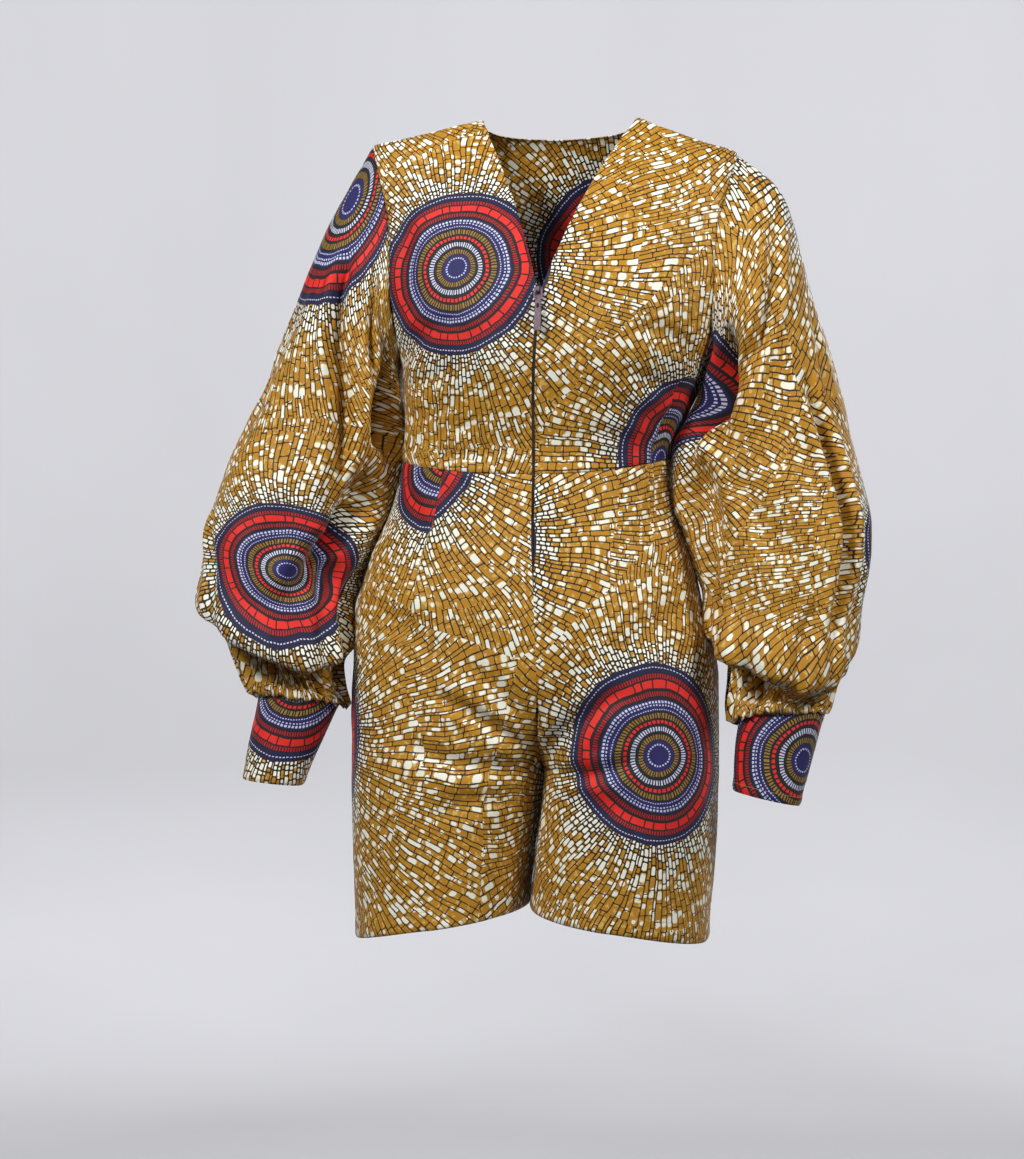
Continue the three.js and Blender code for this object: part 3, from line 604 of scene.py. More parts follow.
# Folds that run along a sleeve: angles round it from the outer edge over the front, at the
# fold's start, middle and end; where along the sleeve it starts and ends; half width in
# degrees and depth in mm.
SLEEVE_FOLDS = {
    "right": [
        # start, middle, end, from, to, half width, depth
        (62, 102, 114, 0.10, 0.66, 6, 20),
        (88, 120, 128, 0.04, 0.36, 5, 9),
        (140, 142, 140, 0.08, 0.44, 8, 24),
        (120, 146, 156, 0.14, 0.50, 8, 9),
        (150, 128, 108, 0.62, 0.86, 8, 20),
        (40, 30, 34, 0.20, 0.60, 9, 3),
        (20, 44, 60, 0.70, 0.93, 6, 6),
        (84, 92, 90, 0.64, 0.80, 5, 4),
        (62, 70, 78, 0.04, 0.26, 5, 3),
        (-4, 6, 10, 0.80, 0.985, 6, 8),
        (34, 42, 50, 0.86, 0.985, 5, 8),
        (74, 78, 82, 0.90, 0.985, 5, 8),
        (136, 138, 142, 0.86, 0.985, 6, 9),
        (170, 164, 160, 0.76, 0.985, 7, 10),
        (205, 212, 216, 0.40, 0.98, 8, 10),
        (245, 252, 262, 0.15, 0.70, 9, 12),
        (292, 284, 276, 0.60, 0.98, 8, 12),
        (228, 222, 216, 0.72, 0.99, 6, 8),
        (262, 270, 280, 0.76, 0.99, 5, 7),
        (320, 326, 330, 0.66, 0.985, 6, 8),
        (340, 332, 330, 0.30, 0.78, 8, 5),
        (275, 268, 262, 0.04, 0.42, 7, 6),
        (186, 196, 200, 0.10, 0.60, 8, 3),
    ],
    "left": [
        (42, 70, 100, 0.12, 0.42, 8, 14),
        (112, 106, 112, 0.14, 0.54, 9, 26),
        (52, 43, 50, 0.46, 0.93, 5, 20),
        (120, 134, 140, 0.12, 0.55, 9, 11),
        (20, 30, 36, 0.34, 0.60, 5, 4),
        (76, 66, 62, 0.52, 0.74, 6, 4),
        (100, 96, 90, 0.60, 0.84, 7, 5),
        (64, 74, 80, 0.05, 0.24, 5, 3),
        (14, 18, 24, 0.74, 0.97, 5, 6),
        (72, 78, 84, 0.88, 0.99, 5, 8),
        (112, 114, 118, 0.90, 0.99, 5, 9),
        (140, 146, 150, 0.74, 0.985, 7, 9),
        (170, 166, 160, 0.66, 0.985, 7, 9),
        (205, 212, 218, 0.40, 0.98, 8, 10),
        (248, 252, 258, 0.15, 0.72, 9, 12),
        (300, 292, 288, 0.60, 0.98, 8, 12),
        (228, 222, 216, 0.70, 0.99, 6, 8),
        (266, 274, 280, 0.72, 0.99, 6, 8),
        (322, 328, 332, 0.66, 0.985, 6, 8),
        (346, 340, 338, 0.30, 0.80, 8, 5),
        (278, 272, 268, 0.04, 0.44, 7, 6),
        (188, 196, 200, 0.10, 0.60, 8, 3),
    ],
}

# Hollows and, with a negative depth, swellings of the puffed sleeve: angle round it,
# where along it, half sizes in degrees and in shares of the length, depth in mm.
SLEEVE_HOLLOWS = {
    "right": [
        (148, 0.330, 17, 0.085, 42),
        (66, 0.300, 22, 0.120, -4),
        (138, 0.640, 18, 0.120, 34),
        (182, 0.420, 24, 0.160, -4),
        (182, 0.660, 24, 0.140, -5),
        (104, 0.953, 13, 0.024, 10),
        (140, 0.800, 16, 0.040, 20),
        (118, 0.740, 9, 0.040, 12),
    ],
    "left": [
        (122, 0.320, 24, 0.120, 52),
        (182, 0.420, 24, 0.160, -4),
        (182, 0.660, 24, 0.140, -5),
        (60, 0.350, 20, 0.120, -4),
        (134, 0.640, 18, 0.120, 22),
        (88, 0.968, 12, 0.018, 9),
        (128, 0.962, 12, 0.020, 9),
        (150, 0.880, 14, 0.030, 10),
    ],
}

FOLD_REACH = 5  # in half widths of the fold, as is the next
FOLD_RISES_AT = 2.1
FOLD_RISE = 0.3  # of the depth
FOLD_END_POWER = 0.7
HOLLOW_POWER = 1.6

GATHERS = 26
GATHER_SHIFT = 0.22  # of the step between gathers, as is the next
GATHER_HALF_WIDTHS = (0.34, 0.5)
GATHER_HEIGHTS = (7.0, 12.0)
GATHER_STARTS = (0.84, 0.94)
GATHER_FULL = 0.982
GATHER_FALL = 0.8


def gather_rows(side):
    """Uneven pleats where the sleeve is gathered: angle, half width, height, where it starts."""
    draw = random.Random(f"gathers {side}")
    rows = []
    for index in range(GATHERS):
        angle = (index + draw.uniform(-GATHER_SHIFT, GATHER_SHIFT)) * 360 / GATHERS
        half_width = draw.uniform(*GATHER_HALF_WIDTHS) * 360 / GATHERS
        height = draw.uniform(*GATHER_HEIGHTS)
        rows.append((angle, half_width, height, draw.uniform(*GATHER_STARTS)))
    return rows


def fold_lift(row, angle, along):
    first, middle, last, start, end, half_width, depth = row
    run = (along - start) / (end - start)
    if run <= 0 or run >= 1:
        return 0.0
    bowed = first * (1 - run) ** 2 + last * run * run
    bowed += (2 * middle - (first + last) / 2) * 2 * run * (1 - run)
    away = degrees_apart(angle, bowed) / half_width
    if abs(away) > FOLD_REACH:
        return 0.0
    rises = math.exp(-((abs(away) - FOLD_RISES_AT) ** 2))
    profile = FOLD_RISE * rises - math.exp(-away * away)
    return depth * profile * math.sin(math.pi * run) ** FOLD_END_POWER


def hollow_lift(row, angle, along):
    around, middle, half_angle, half_along, depth = row
    aside = degrees_apart(angle, around) / half_angle
    away = (along - middle) / half_along
    return -depth * math.exp(-((aside * aside + away * away) ** HOLLOW_POWER))


def gather_lift(row, angle, along):
    centre, half_width, height, start = row
    if along <= start:
        return 0.0
    away = abs(degrees_apart(angle, centre)) / half_width
    if away >= 2:
        return 0.0
    wave = (1 + math.cos(math.pi * away / 2)) / 2
    rise = smooth((along - start) / (GATHER_FULL - start))
    fall = GATHER_FALL * smooth((along - GATHER_FULL) / (1 - GATHER_FULL))
    return height * wave * wave * (rise - fall)


# Where the puffed cloth folds over above the gathers: angle round the sleeve and share along
SLEEVE_LIPS = {
    "right": [
        (0, 0.88), (48, 0.88), (72, 0.905), (116, 0.925), (180, 0.895), (270, 0.9), (360, 0.88),
    ],
    "left": [
        (0, 0.935), (44, 0.955), (80, 0.95), (120, 0.925), (172, 0.893), (230, 0.905), (360, 0.935),
    ],
}
SLEEVE_LENGTH = 620
LIP_MIDDLE = 104  # degrees round the sleeve, where the fold is deepest
LIP_REACH = 80
LIP_LEAST = 0.25  # strength on the sleeve's other side
LIP_SWELLING = 13
LIP_SWELLS_ABOVE = 8
LIP_HANG = 17
LIP_HANGS_ABOVE = 4
LIP_WIDTH = 15
POCKET_DEPTH = 26
POCKET_MIDDLE = 0.5  # of the length left to the cuff, as is the next
POCKET_HALF_WIDTH = 0.36
POCKET_FULL_FROM = 40  # mm left to the cuff
CUFF_SEAM_SHARE = 0.012
CALM_HEAD_SHARE = 0.1  # share of the sleeve by the armhole where its waves grow
CUFF_PULL = 0.6
CUFF_PULL_FADE = 0.12


def lip_place(side, angle, along):
    """Strength of the fold at an angle, distance below its lip, and length left to the cuff."""
    lip = float(np.interp(angle, *zip(*SLEEVE_LIPS[side])))
    strength = LIP_LEAST + (1 - LIP_LEAST) * math.exp(-(((angle - LIP_MIDDLE) / LIP_REACH) ** 4))
    return strength, (along - lip) * SLEEVE_LENGTH, (1 - lip) * SLEEVE_LENGTH


def lip_lift(side, angle, along):
    strength, below, left_over = lip_place(side, angle, along)
    swelling = LIP_SWELLING * math.exp(-(((below + LIP_SWELLS_ABOVE) / LIP_WIDTH) ** 2))
    depth = POCKET_DEPTH * min(1.0, left_over / POCKET_FULL_FROM)
    aside = (below - POCKET_MIDDLE * left_over) / (POCKET_HALF_WIDTH * left_over)
    pocket = depth * math.exp(-(aside ** 4))
    return strength * (swelling - pocket) * smooth((1 - along) / CUFF_SEAM_SHARE)


def lip_slump(side):
    """How far the puffed cloth hangs down over the gathers."""
    def slump(turn, along):
        strength, below, _ = lip_place(side, (turn * 360) % 360, along)
        near = math.exp(-(((below + LIP_HANGS_ABOVE) / LIP_WIDTH) ** 2))
        return Vector((0, 0, -strength * LIP_HANG * near))
    return slump


def sleeve_lift(side):
    gathers = gather_rows(side)

    def lift(turn, along, point):
        angle = (turn * 360) % 360
        total = sum(fold_lift(row, angle, along) for row in SLEEVE_FOLDS[side])
        total += sum(hollow_lift(row, angle, along) for row in SLEEVE_HOLLOWS[side])
        total += sum(gather_lift(row, angle, along) for row in gathers)
        total += lip_lift(side, angle, along)
        waves = soft_waves(point, *SLEEVE_WAVES) + soft_waves(point, *SLEEVE_RIPPLES)
        return total + smooth(along / CALM_HEAD_SHARE) * waves
    return lift


def cuff_lift(turn, along, point):
    pulled = math.exp(-along / CUFF_PULL_FADE)
    return soft_waves(point, *CUFF_WAVES) + pulled * CUFF_PULL * math.sin(turn * 2 * math.pi * GATHERS)


# ---------------------------------------------------------------- cloth made from a net

# Shares of a side at which a net has extra lines, and how many times the last of those
# shares the even lines keep away
EDGE_STEPS = (0, 0.0025, 0.006, 0.011)
EDGE_CLEARANCE = 1.5
DART_STEPS = (0, 0.003, 0.007, 0.013)
DART_CLEARANCE = 1.4

# A sewn edge: how far it turns in, and the soft rise beside it, in mm
SEAM_TURN = 0.9
SEAM_TURN_WIDTH = 1.6
SEAM_RISE = 0.25
SEAM_RISE_AT = 6
SEAM_RISE_WIDTH = 4

DART_TURN = 0.8  # of a seam's turn
DART_FADE = 12  # mm from its tip

# Hems: how far the double cloth stands out, where it ends above the thread, and how fast
HEM_STEP = 0.35
HEM_ENDS_ABOVE = 1
HEM_STEP_WIDTH = 1.6
HEM_DEPTHS = {"shorts": 20.0, "cuff": 9.0}
STITCH_LENGTH = 2.7
STITCH_PITCH = 3.3
THREAD_WIDTH = 0.42

# What the panels leave behind as they are made: the lines of their hem threads and the
# print's centres on their flat maps
hem_lines = []
print_centres = {}


def even_places(count, low=0.0, high=1.0):
    return [lerp(low, high, index / count) for index in range(count + 1)]


def places(count, low=0.0, darts=()):
    """Places along a side of a net, closer together beside both ends and beside darts."""
    span = 1 - low
    first = [low + span * step for step in EDGE_STEPS]
    last = [1 - span * step for step in reversed(EDGE_STEPS)]
    gap = EDGE_STEPS[-1] * span * EDGE_CLEARANCE
    inner = [value for value in even_places(count, low) if low + gap < value < 1 - gap]
    for column, _, _ in darts:
        clear = DART_STEPS[-1] * DART_CLEARANCE
        inner = [value for value in inner if abs(value - column) > clear]
        inner += [column + step for step in DART_STEPS] + [column - step for step in DART_STEPS[1:]]
    return first + sorted(inner) + last


def seam_roll(distance):
    """How far the cloth stands out at a distance from a seam, both in mm."""
    rise = SEAM_RISE * math.exp(-(((distance - SEAM_RISE_AT) / SEAM_RISE_WIDTH) ** 2))
    return -SEAM_TURN * math.exp(-((distance / SEAM_TURN_WIDTH) ** 2)) + rise


def net(columns, rows):
    """A flat net of faces with its vertices listed by column and row."""
    mesh = bmesh.new()
    bmesh.ops.create_grid(mesh, x_segments=len(columns) - 1, y_segments=len(rows) - 1, size=0.5)
    ordered = sorted(mesh.verts, key=lambda vertex: (round(vertex.co.y, 5), round(vertex.co.x, 5)))
    width = len(columns)
    grid = [ordered[start:start + width] for start in range(0, len(ordered), width)]
    return mesh, grid


def sewn_cloth(name, surface, columns, rows, lift, unroll, closed=False, darts=(), slump=None):
    """A panel: its net takes the surface's form, then its creases, then its print's map."""
    mesh, grid = net(columns, rows)
    for row, line in zip(rows, grid):
        for column, vertex in zip(columns, line):
            vertex.co = surface(column, row)
    mesh.normal_update()
    base = [[vertex.co.copy() for vertex in line] for line in grid]
    normals = [[vertex.normal.copy() for vertex in line] for line in grid]
    if closed:
        for line in normals:
            joined = (line[0] + line[-1]).normalized()
            line[0] = joined
            line[-1] = joined
    flip = outward_sign(base, normals, closed)
    chart = unroll(columns, rows, base)
    note_cut(chart)
    print_centres[name] = flat_centres(name, base, chart)
    map_print(mesh, grid, columns, base, chart, darts)
    dart_places = [(columns.index(dart[0]), dart[1]) for dart in darts]
    hem = hem_depth(name)
    for j, row in enumerate(rows):
        for i, column in enumerate(columns):
            here = base[j][i]
            height = lift(column, row, here)
            from_end = (here - base[-1][i]).length
            if hem:
                height += HEM_STEP * smooth((hem + HEM_ENDS_ABOVE - from_end) / HEM_STEP_WIDTH)
            height += seam_roll((here - base[0][i]).length)
            height += seam_roll(from_end)
            if not closed:
                height += seam_roll((here - base[j][0]).length)
                height += seam_roll((here - base[j][-1]).length)
            for place, tip in dart_places:
                beside = (here - base[j][place]).length
                waistward = (-here.z - tip) * (-1 if tip > WAIST_SIDE_DROP else 1)
                height += DART_TURN * seam_roll(beside) * clamp(waistward / DART_FADE)
            grid[j][i].co = here + normals[j][i] * height * flip
            if slump:
                grid[j][i].co += slump(column, row)
    if hem:
        hem_lines.append(hem_line(grid, hem))
    if flip < 0:
        bmesh.ops.reverse_faces(mesh, faces=mesh.faces)
    if closed:
        bmesh.ops.remove_doubles(mesh, verts=mesh.verts, dist=0.001)
    bmesh.ops.scale(mesh, vec=(MM, MM, MM), verts=mesh.verts)
    return thicken(finished(f"{name}_cloth", mesh))


def hem_depth(name):
    """How far above the panel's last edge its hem's thread lies, or 0 where it has no hem."""
    return HEM_DEPTHS.get(name.split("_")[0], 0.0)


def hem_line(grid, depth):
    """The line that lies at one distance above the panel's last edge, in mm."""
    line = []
    for i in range(len(grid[0])):
        points = [row[i].co for row in reversed(grid)]
        walked = 0.0
        for before, after in zip(points, points[1:]):
            step = (after - before).length
            if walked + step >= depth:
                line.append(before.lerp(after, (depth - walked) / step))
                break
            walked += step
    return line


def add_block(mesh, middle, size, turn):
    """A small block at a place, both in mm, for a length of thread or a tooth."""
    placed = Matrix.Scale(MM, 4) @ Matrix.Translation(middle) @ turn @ Matrix.Diagonal((*size, 1))
    bmesh.ops.create_cube(mesh, size=1, matrix=placed)


def stitched(mesh, line):
    """Short lengths of thread laid end to end along a line."""
    spent = 0.0
    for before, after in zip(line, line[1:]):
        way = after - before
        while spent < way.length:
            middle = before + way.normalized() * spent
            turn = way.to_track_quat("X", "Z").to_matrix().to_4x4()
            add_block(mesh, middle, (STITCH_LENGTH, THREAD_WIDTH, THREAD_WIDTH), turn)
            spent += STITCH_PITCH
        spent -= way.length


def make_hem_stitches():
    mesh = bmesh.new()
    for line in hem_lines:
        stitched(mesh, line)
    return finished("hem_stitches", mesh)


def map_print(mesh, grid, columns, base, chart, darts):
    """The flat map in metres, parted along the darts so that the print jumps there."""
    layer = mesh.loops.layers.uv.new("cloth")
    way = math.copysign(1, chart[0][-1].x - chart[0][0].x)
    for j, line in enumerate(grid):
        for i, vertex in enumerate(line):
            for loop in vertex.link_loops:
                beside = columns[i]
                if darts:
                    ways = [corner.co.x - vertex.co.x for corner in loop.face.verts]
                    step = 0.001 if sum(ways) * way > 0 else -0.001
                    beside = columns[i] + step
                shift = Vector((way * dart_opening(darts, beside, -base[j][i].z), 0))
                loop[layer].uv = (chart[j][i] + shift) * MM


def outward_sign(base, normals, closed):
    """Whether the net's own normals point out of the garment (+) or into it (-)."""
    total = 0.0
    for points, directions in zip(base, normals):
        if closed:
            middle = sum(points, Vector()) / len(points)
        else:
            middle = Vector((body_section(-points[0].z)[0], 0, points[0].z))
        total += sum((point - middle).dot(way) for point, way in zip(points, directions))
    return math.copysign(1, total)


def finished(name, mesh):
    """The mesh becomes a smooth-shaded object of the scene."""
    data = bpy.data.meshes.new(name)
    mesh.to_mesh(data)
    mesh.free()
    data.shade_smooth()
    piece = bpy.data.objects.new(name, data)
    bpy.context.collection.objects.link(piece)
    return piece


def thicken(piece, thickness=CLOTH_THICKNESS):
    """The cloth gets a thin wall that grows inward."""
    wall = piece.modifiers.new("wall", "SOLIDIFY")
    wall.thickness = thickness
    wall.offset = -1
    return piece


# ---------------------------------------------------------------- how each panel lies flat

def bodice_chart(place, half):
    """Level lengths from the centre line, and the length down the centre line."""
    def unroll(columns, rows, base):
        chart = []
        for row in rows:
            line = []
            for column in columns:
                angle, drop = place(column, row)
                across = math.copysign(level_length(angle, drop), angle)
                line.append(Vector((across, -meridian_length(half, drop))))
            chart.append(line)
        return chart
    return unroll


LEG_CHART_FROM = 480
LEG_CHART_TO = 620


def shorts_chart(side, half):
    """From the centre line down the trunk, and from the side seam down the leg."""
    def unroll(columns, rows, base):
        widths = [run_lengths(line) for line in base]
        at_rise = min(range(len(rows)), key=lambda j: abs(base[j][0].z + RISE_START_DROP))
        full = widths[at_rise][-1]
        chart = []
        for points, lengths in zip(base, widths):
            share = smooth((-points[0].z - LEG_CHART_FROM) / (LEG_CHART_TO - LEG_CHART_FROM))
            shift = (full - lengths[-1]) * share
            chart.append([
                Vector((sign_of(side) * (length + shift), -meridian_length(half, -point.z)))
                for point, length in zip(points, lengths)
            ])
        return chart
    return unroll


def run_lengths(points):
    lengths = [0.0]
    for before, after in zip(points, points[1:]):
        lengths.append(lengths[-1] + (after - before).length)
    return lengths


FRONT_TURN = 0.25
PUFF_SLACK = 0.32  # extra length of cloth that lies in the puff's small folds
PUFF_FROM = 0.56
PUFF_RISE = 0.1
PUFF_TO = 0.94
PUFF_FALL = 0.06


def tube_chart(side, keeps_width):
    """Round a sleeve or cuff from the middle of its front; gathered rows keep their full width."""
    def unroll(columns, rows, base):
        anchor = min(range(len(columns)), key=lambda i: abs(columns[i] - FRONT_TURN))
        front = [line[anchor] for line in base]
        downs = [0.0]
        for row, before, after in zip(rows, front, front[1:]):
            puffed = smooth((row - PUFF_FROM) / PUFF_RISE) * smooth((PUFF_TO - row) / PUFF_FALL)
            slack = PUFF_SLACK * puffed if keeps_width else 0
            downs.append(downs[-1] + (after - before).length * (1 + slack))
        widest = 0.0
        chart = []
        for points, down in zip(base, downs):
            lengths = run_lengths(points)
            widest = max(widest, lengths[-1])
            stretch = widest / lengths[-1] if keeps_width else 1
            chart.append([
                Vector((-sign_of(side) * (length - lengths[anchor]) * stretch, -down))
                for length in lengths
            ])
        return chart
    return unroll


# Middles of the print's discs and of the ray fields round discs that fall off the panel:
# mm sideways, mm down, the side they show on, and how far the field reaches beside others.
PRINT_CENTRES = {
    "bodice_front_right": [
        (-94, 165, "front", 1.0),
        (-236, -66, "front", 1.02),
        (-94, 528, "front", 1.0),
    ],
    "bodice_front_left": [
        (118, 358, "front", 1.0),
        (-88, 158, "front", 1.12),
        (246, -34, "front", 0.72),
    ],
    "bodice_back": [
        (52, 132, "back", 1.0),
        (-158, 318, "back", 1.0),
        (-190, -60, "back", 0.9),
        (236, 400, "back", 1.0),
    ],
    "shorts_front_right": [
        (-146, 338, "front", 1.0),
        (-243, 645, "front", 1.12),
        (96, 700, "front", 1.0),
    ],
    "shorts_front_left": [
        (111, 650, "front", 1.0),
        (-100, 436, "front", 1.0),
        (286, 376, "front", 1.1),
    ],
    "shorts_back_right": [
        (-150, 655, "back", 1.0),
        (-20, 400, "back", 1.0),
        (90, 760, "back", 1.0),
    ],
    "shorts_back_left": [
        (96, 730, "back", 1.0),
        (152, 440, "back", 0.9),
        (-110, 520, "back", 1.0),
    ],
    "sleeve_right": [
        (-214, 84, "front", 1.0),
        (-267, 466, "front", 1.0),
        (-250, 290, "back", 0.95),
        (-290, 560, "back", 0.9),
    ],
    "sleeve_left": [
        (138, 294, "front", 1.0),
        (299, 441, "back", 1.0),
        (204, -46, "front", 0.8),
        (172, 566, "back", 0.9),
        (215, 150, "back", 0.9),
    ],
    "cuff_right": [(-262, 574, "front", 1.0)],
    "cuff_left": [(252, 655, "front", 1.0)],
}

# Waist darts: place at the waist, drop of the tip and width taken in, all in mm
DARTS = {
    "bodice_front_right": [(-117, 281, 20)],
    "bodice_front_left": [(100, 268, 31)],
    "bodice_back": [(-86, 262, 18), (60, 262, 18)],
    "shorts_front_right": [(-110, 540, 62)],
    "shorts_front_left": [(101, 412, 22)],
    "shorts_back_right": [(-88, 440, 20)],
    "shorts_back_left": [(60, 440, 20)],
}


DART_HALVINGS = 30


def dart_lines(name, surface):
    """Each dart as the column that it follows, the drop of its tip, and the width taken in.

    The column is found by halving along the panel's first row, which lies at the waist.
    """
    lines = []
    for x, tip, intake in DARTS.get(name, []):
        low, high = 0.0, math.copysign(1.0, x) if name == "bodice_back" else 1.0
        for _ in range(DART_HALVINGS):
            middle = (low + high) / 2
            if abs(surface(middle, 0).x) < abs(x):
                low = middle
            else:
                high = middle
        lines.append((low, tip, intake))
    return lines


def dart_opening(darts, across, drop):
    """How far the cloth beyond a dart lies further out once the panel is flat."""
    total = 0.0
    for column, tip, intake in darts:
        if across * column > 0 and abs(across) > abs(column):
            share = clamp((drop - tip) / (WAIST_SIDE_DROP - tip))
            if tip > WAIST_SIDE_DROP:
                share = clamp((tip - drop) / (tip - WAIST_SIDE_DROP))
            total += math.copysign(intake * share ** 0.5, column)
    return total


def flat_centres(name, base, chart):
    """The print's centres on the panel's flat map, in mm, each with its reach."""
    centres = []
    tube = "sleeve" in name or "cuff" in name
    for x, drop, half, reach in PRINT_CENTRES[name]:
        spots = []
        for points, line in zip(base, chart):
            middle = sum(point.y for point in points) / len(points) if tube else 0
            spots += [
                (math.hypot(point.x - x, -point.z - drop), point, flat)
                for point, flat in zip(points, line)
                if (point.y < middle) == (half == "front")
            ]
        _, nearest, flat = min(spots, key=lambda spot: spot[0])
        way = -1 if half == "back" and tube else 1
        centre = flat + Vector((way * (x - nearest.x), -nearest.z - drop))
        centres.append((centre.x, centre.y, reach))
    return centres


def note_cut(chart):
    """Goes over the panel's flat map and its faces, and keeps nothing from them."""
    values = [value for line in chart for value in line]
    for low, high in zip(chart, chart[1:]):
        for a, b, c, d in zip(low, low[1:], high[1:], high):
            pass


def make_panel(name, surface, count, low, unroll):
    darts = dart_lines(name, surface)
    return sewn_cloth(
        name, surface, places(count, low, darts), places(PANEL_ROWS), trunk_lift(name), unroll,
        darts=darts,
    )


def make_bodice():
    pieces = []
    for side in SIDES:
        place = front_place(side)
        pieces.append(make_panel(
            f"bodice_front_{side}", lambda across, up, place=place: body_point(*place(across, up)),
            PANEL_COLUMNS, 0.0, bodice_chart(place, "front"),
        ))
    pieces.append(make_panel(
        "bodice_back", lambda across, up: body_point(*back_place(across, up)),
        BACK_COLUMNS, -1.0, bodice_chart(back_place, "back"),
    ))
    return pieces


def make_shorts():
    return [
        make_panel(
            f"shorts_{half}_{side}", shorts_surface(side, half), PANEL_COLUMNS, 0.0,
            shorts_chart(side, half),
        )
        for side in SIDES for half in ("front", "back")
    ]


def make_sleeves():
    pieces = []
    for side in SIDES:
        pieces.append(sewn_cloth(
            f"sleeve_{side}", sleeve_surface(side), even_places(SLEEVE_COLUMNS, -0.5, 0.5),
            places(SLEEVE_ROWS), sleeve_lift(side), tube_chart(side, True), closed=True,
            slump=lip_slump(side),
        ))
        pieces.append(sewn_cloth(
            f"cuff_{side}", cuff_surface(side), even_places(CUFF_COLUMNS, -0.5, 0.5),
            places(CUFF_ROWS), cuff_lift, tube_chart(side, False), closed=True,
        ))
    return pieces


# ---------------------------------------------------------------- zip

TAPE_WIDTH = 24
TAPE_BEHIND = 2.9
TAPE_THICKNESS = 0.0006
TAPE_TOP_DROP = V_DROP + 2
TAPE_END_DROP = ZIP_END_DROP - 6
TAPE_COLUMNS = 16
TAPE_ROWS = 110


def tape_surface(across, down):
    drop = lerp(TAPE_TOP_DROP, TAPE_END_DROP, down)
    slope = (body_section(drop + 1)[3] - body_section(drop - 1)[3]) / 2
    out = Vector((0, -1, -slope)).normalized()
    side = "right" if across < 0 else "left"
    angle = angle_at(abs(across) * TAPE_WIDTH / 2, drop, side)
    return body_point(sign_of(side) * angle, drop) - out * TAPE_BEHIND


def make_tape():
    columns = even_places(TAPE_COLUMNS, low=-1.0)
    rows = even_places(TAPE_ROWS)
    mesh, grid = net(columns, rows)
    layer = mesh.loops.layers.uv.new("cloth")
    for row, line in zip(rows, grid):
        length = row * (TAPE_END_DROP - TAPE_TOP_DROP)
        for column, vertex in zip(columns, line):
            vertex.co = tape_surface(column, row) * MM
            for loop in vertex.link_loops:
                loop[layer].uv = Vector((column * TAPE_WIDTH / 2, -length)) * MM
    mesh.normal_update()
    if sum(face.normal.y for face in mesh.faces) > 0:
        bmesh.ops.reverse_faces(mesh, faces=mesh.faces)
    return thicken(finished("zip_tape_cloth", mesh), TAPE_THICKNESS)


TOOTH_PITCH = 1.5
TOOTH_SIZE = (4.2, 1.3, 0.95)
TOOTH_BEVEL = 0.0003
COIL_BELOW_TAPE_TOP = 6
COIL_ABOVE_TAPE_END = 2


def make_teeth():
    """A nylon coil: small rounded teeth that sit on the tape behind the closed slit."""
    mesh = bmesh.new()
    drop = TAPE_TOP_DROP + COIL_BELOW_TAPE_TOP
    while drop < TAPE_END_DROP - COIL_ABOVE_TAPE_END:
        seat = tape_surface(0, (drop - TAPE_TOP_DROP) / (TAPE_END_DROP - TAPE_TOP_DROP))
        middle = seat + Vector((0, -TOOTH_SIZE[1] / 2, 0))
        add_block(mesh, middle, TOOTH_SIZE, Matrix.Identity(4))
        drop += TOOTH_PITCH
    bmesh.ops.bevel(
        mesh, geom=mesh.edges[:], offset=TOOTH_BEVEL, offset_type="OFFSET", segments=1,
        profile=0.5, affect="EDGES", material=-1,
    )
    return finished("zip_teeth", mesh)


# ---------------------------------------------------------------- finishes

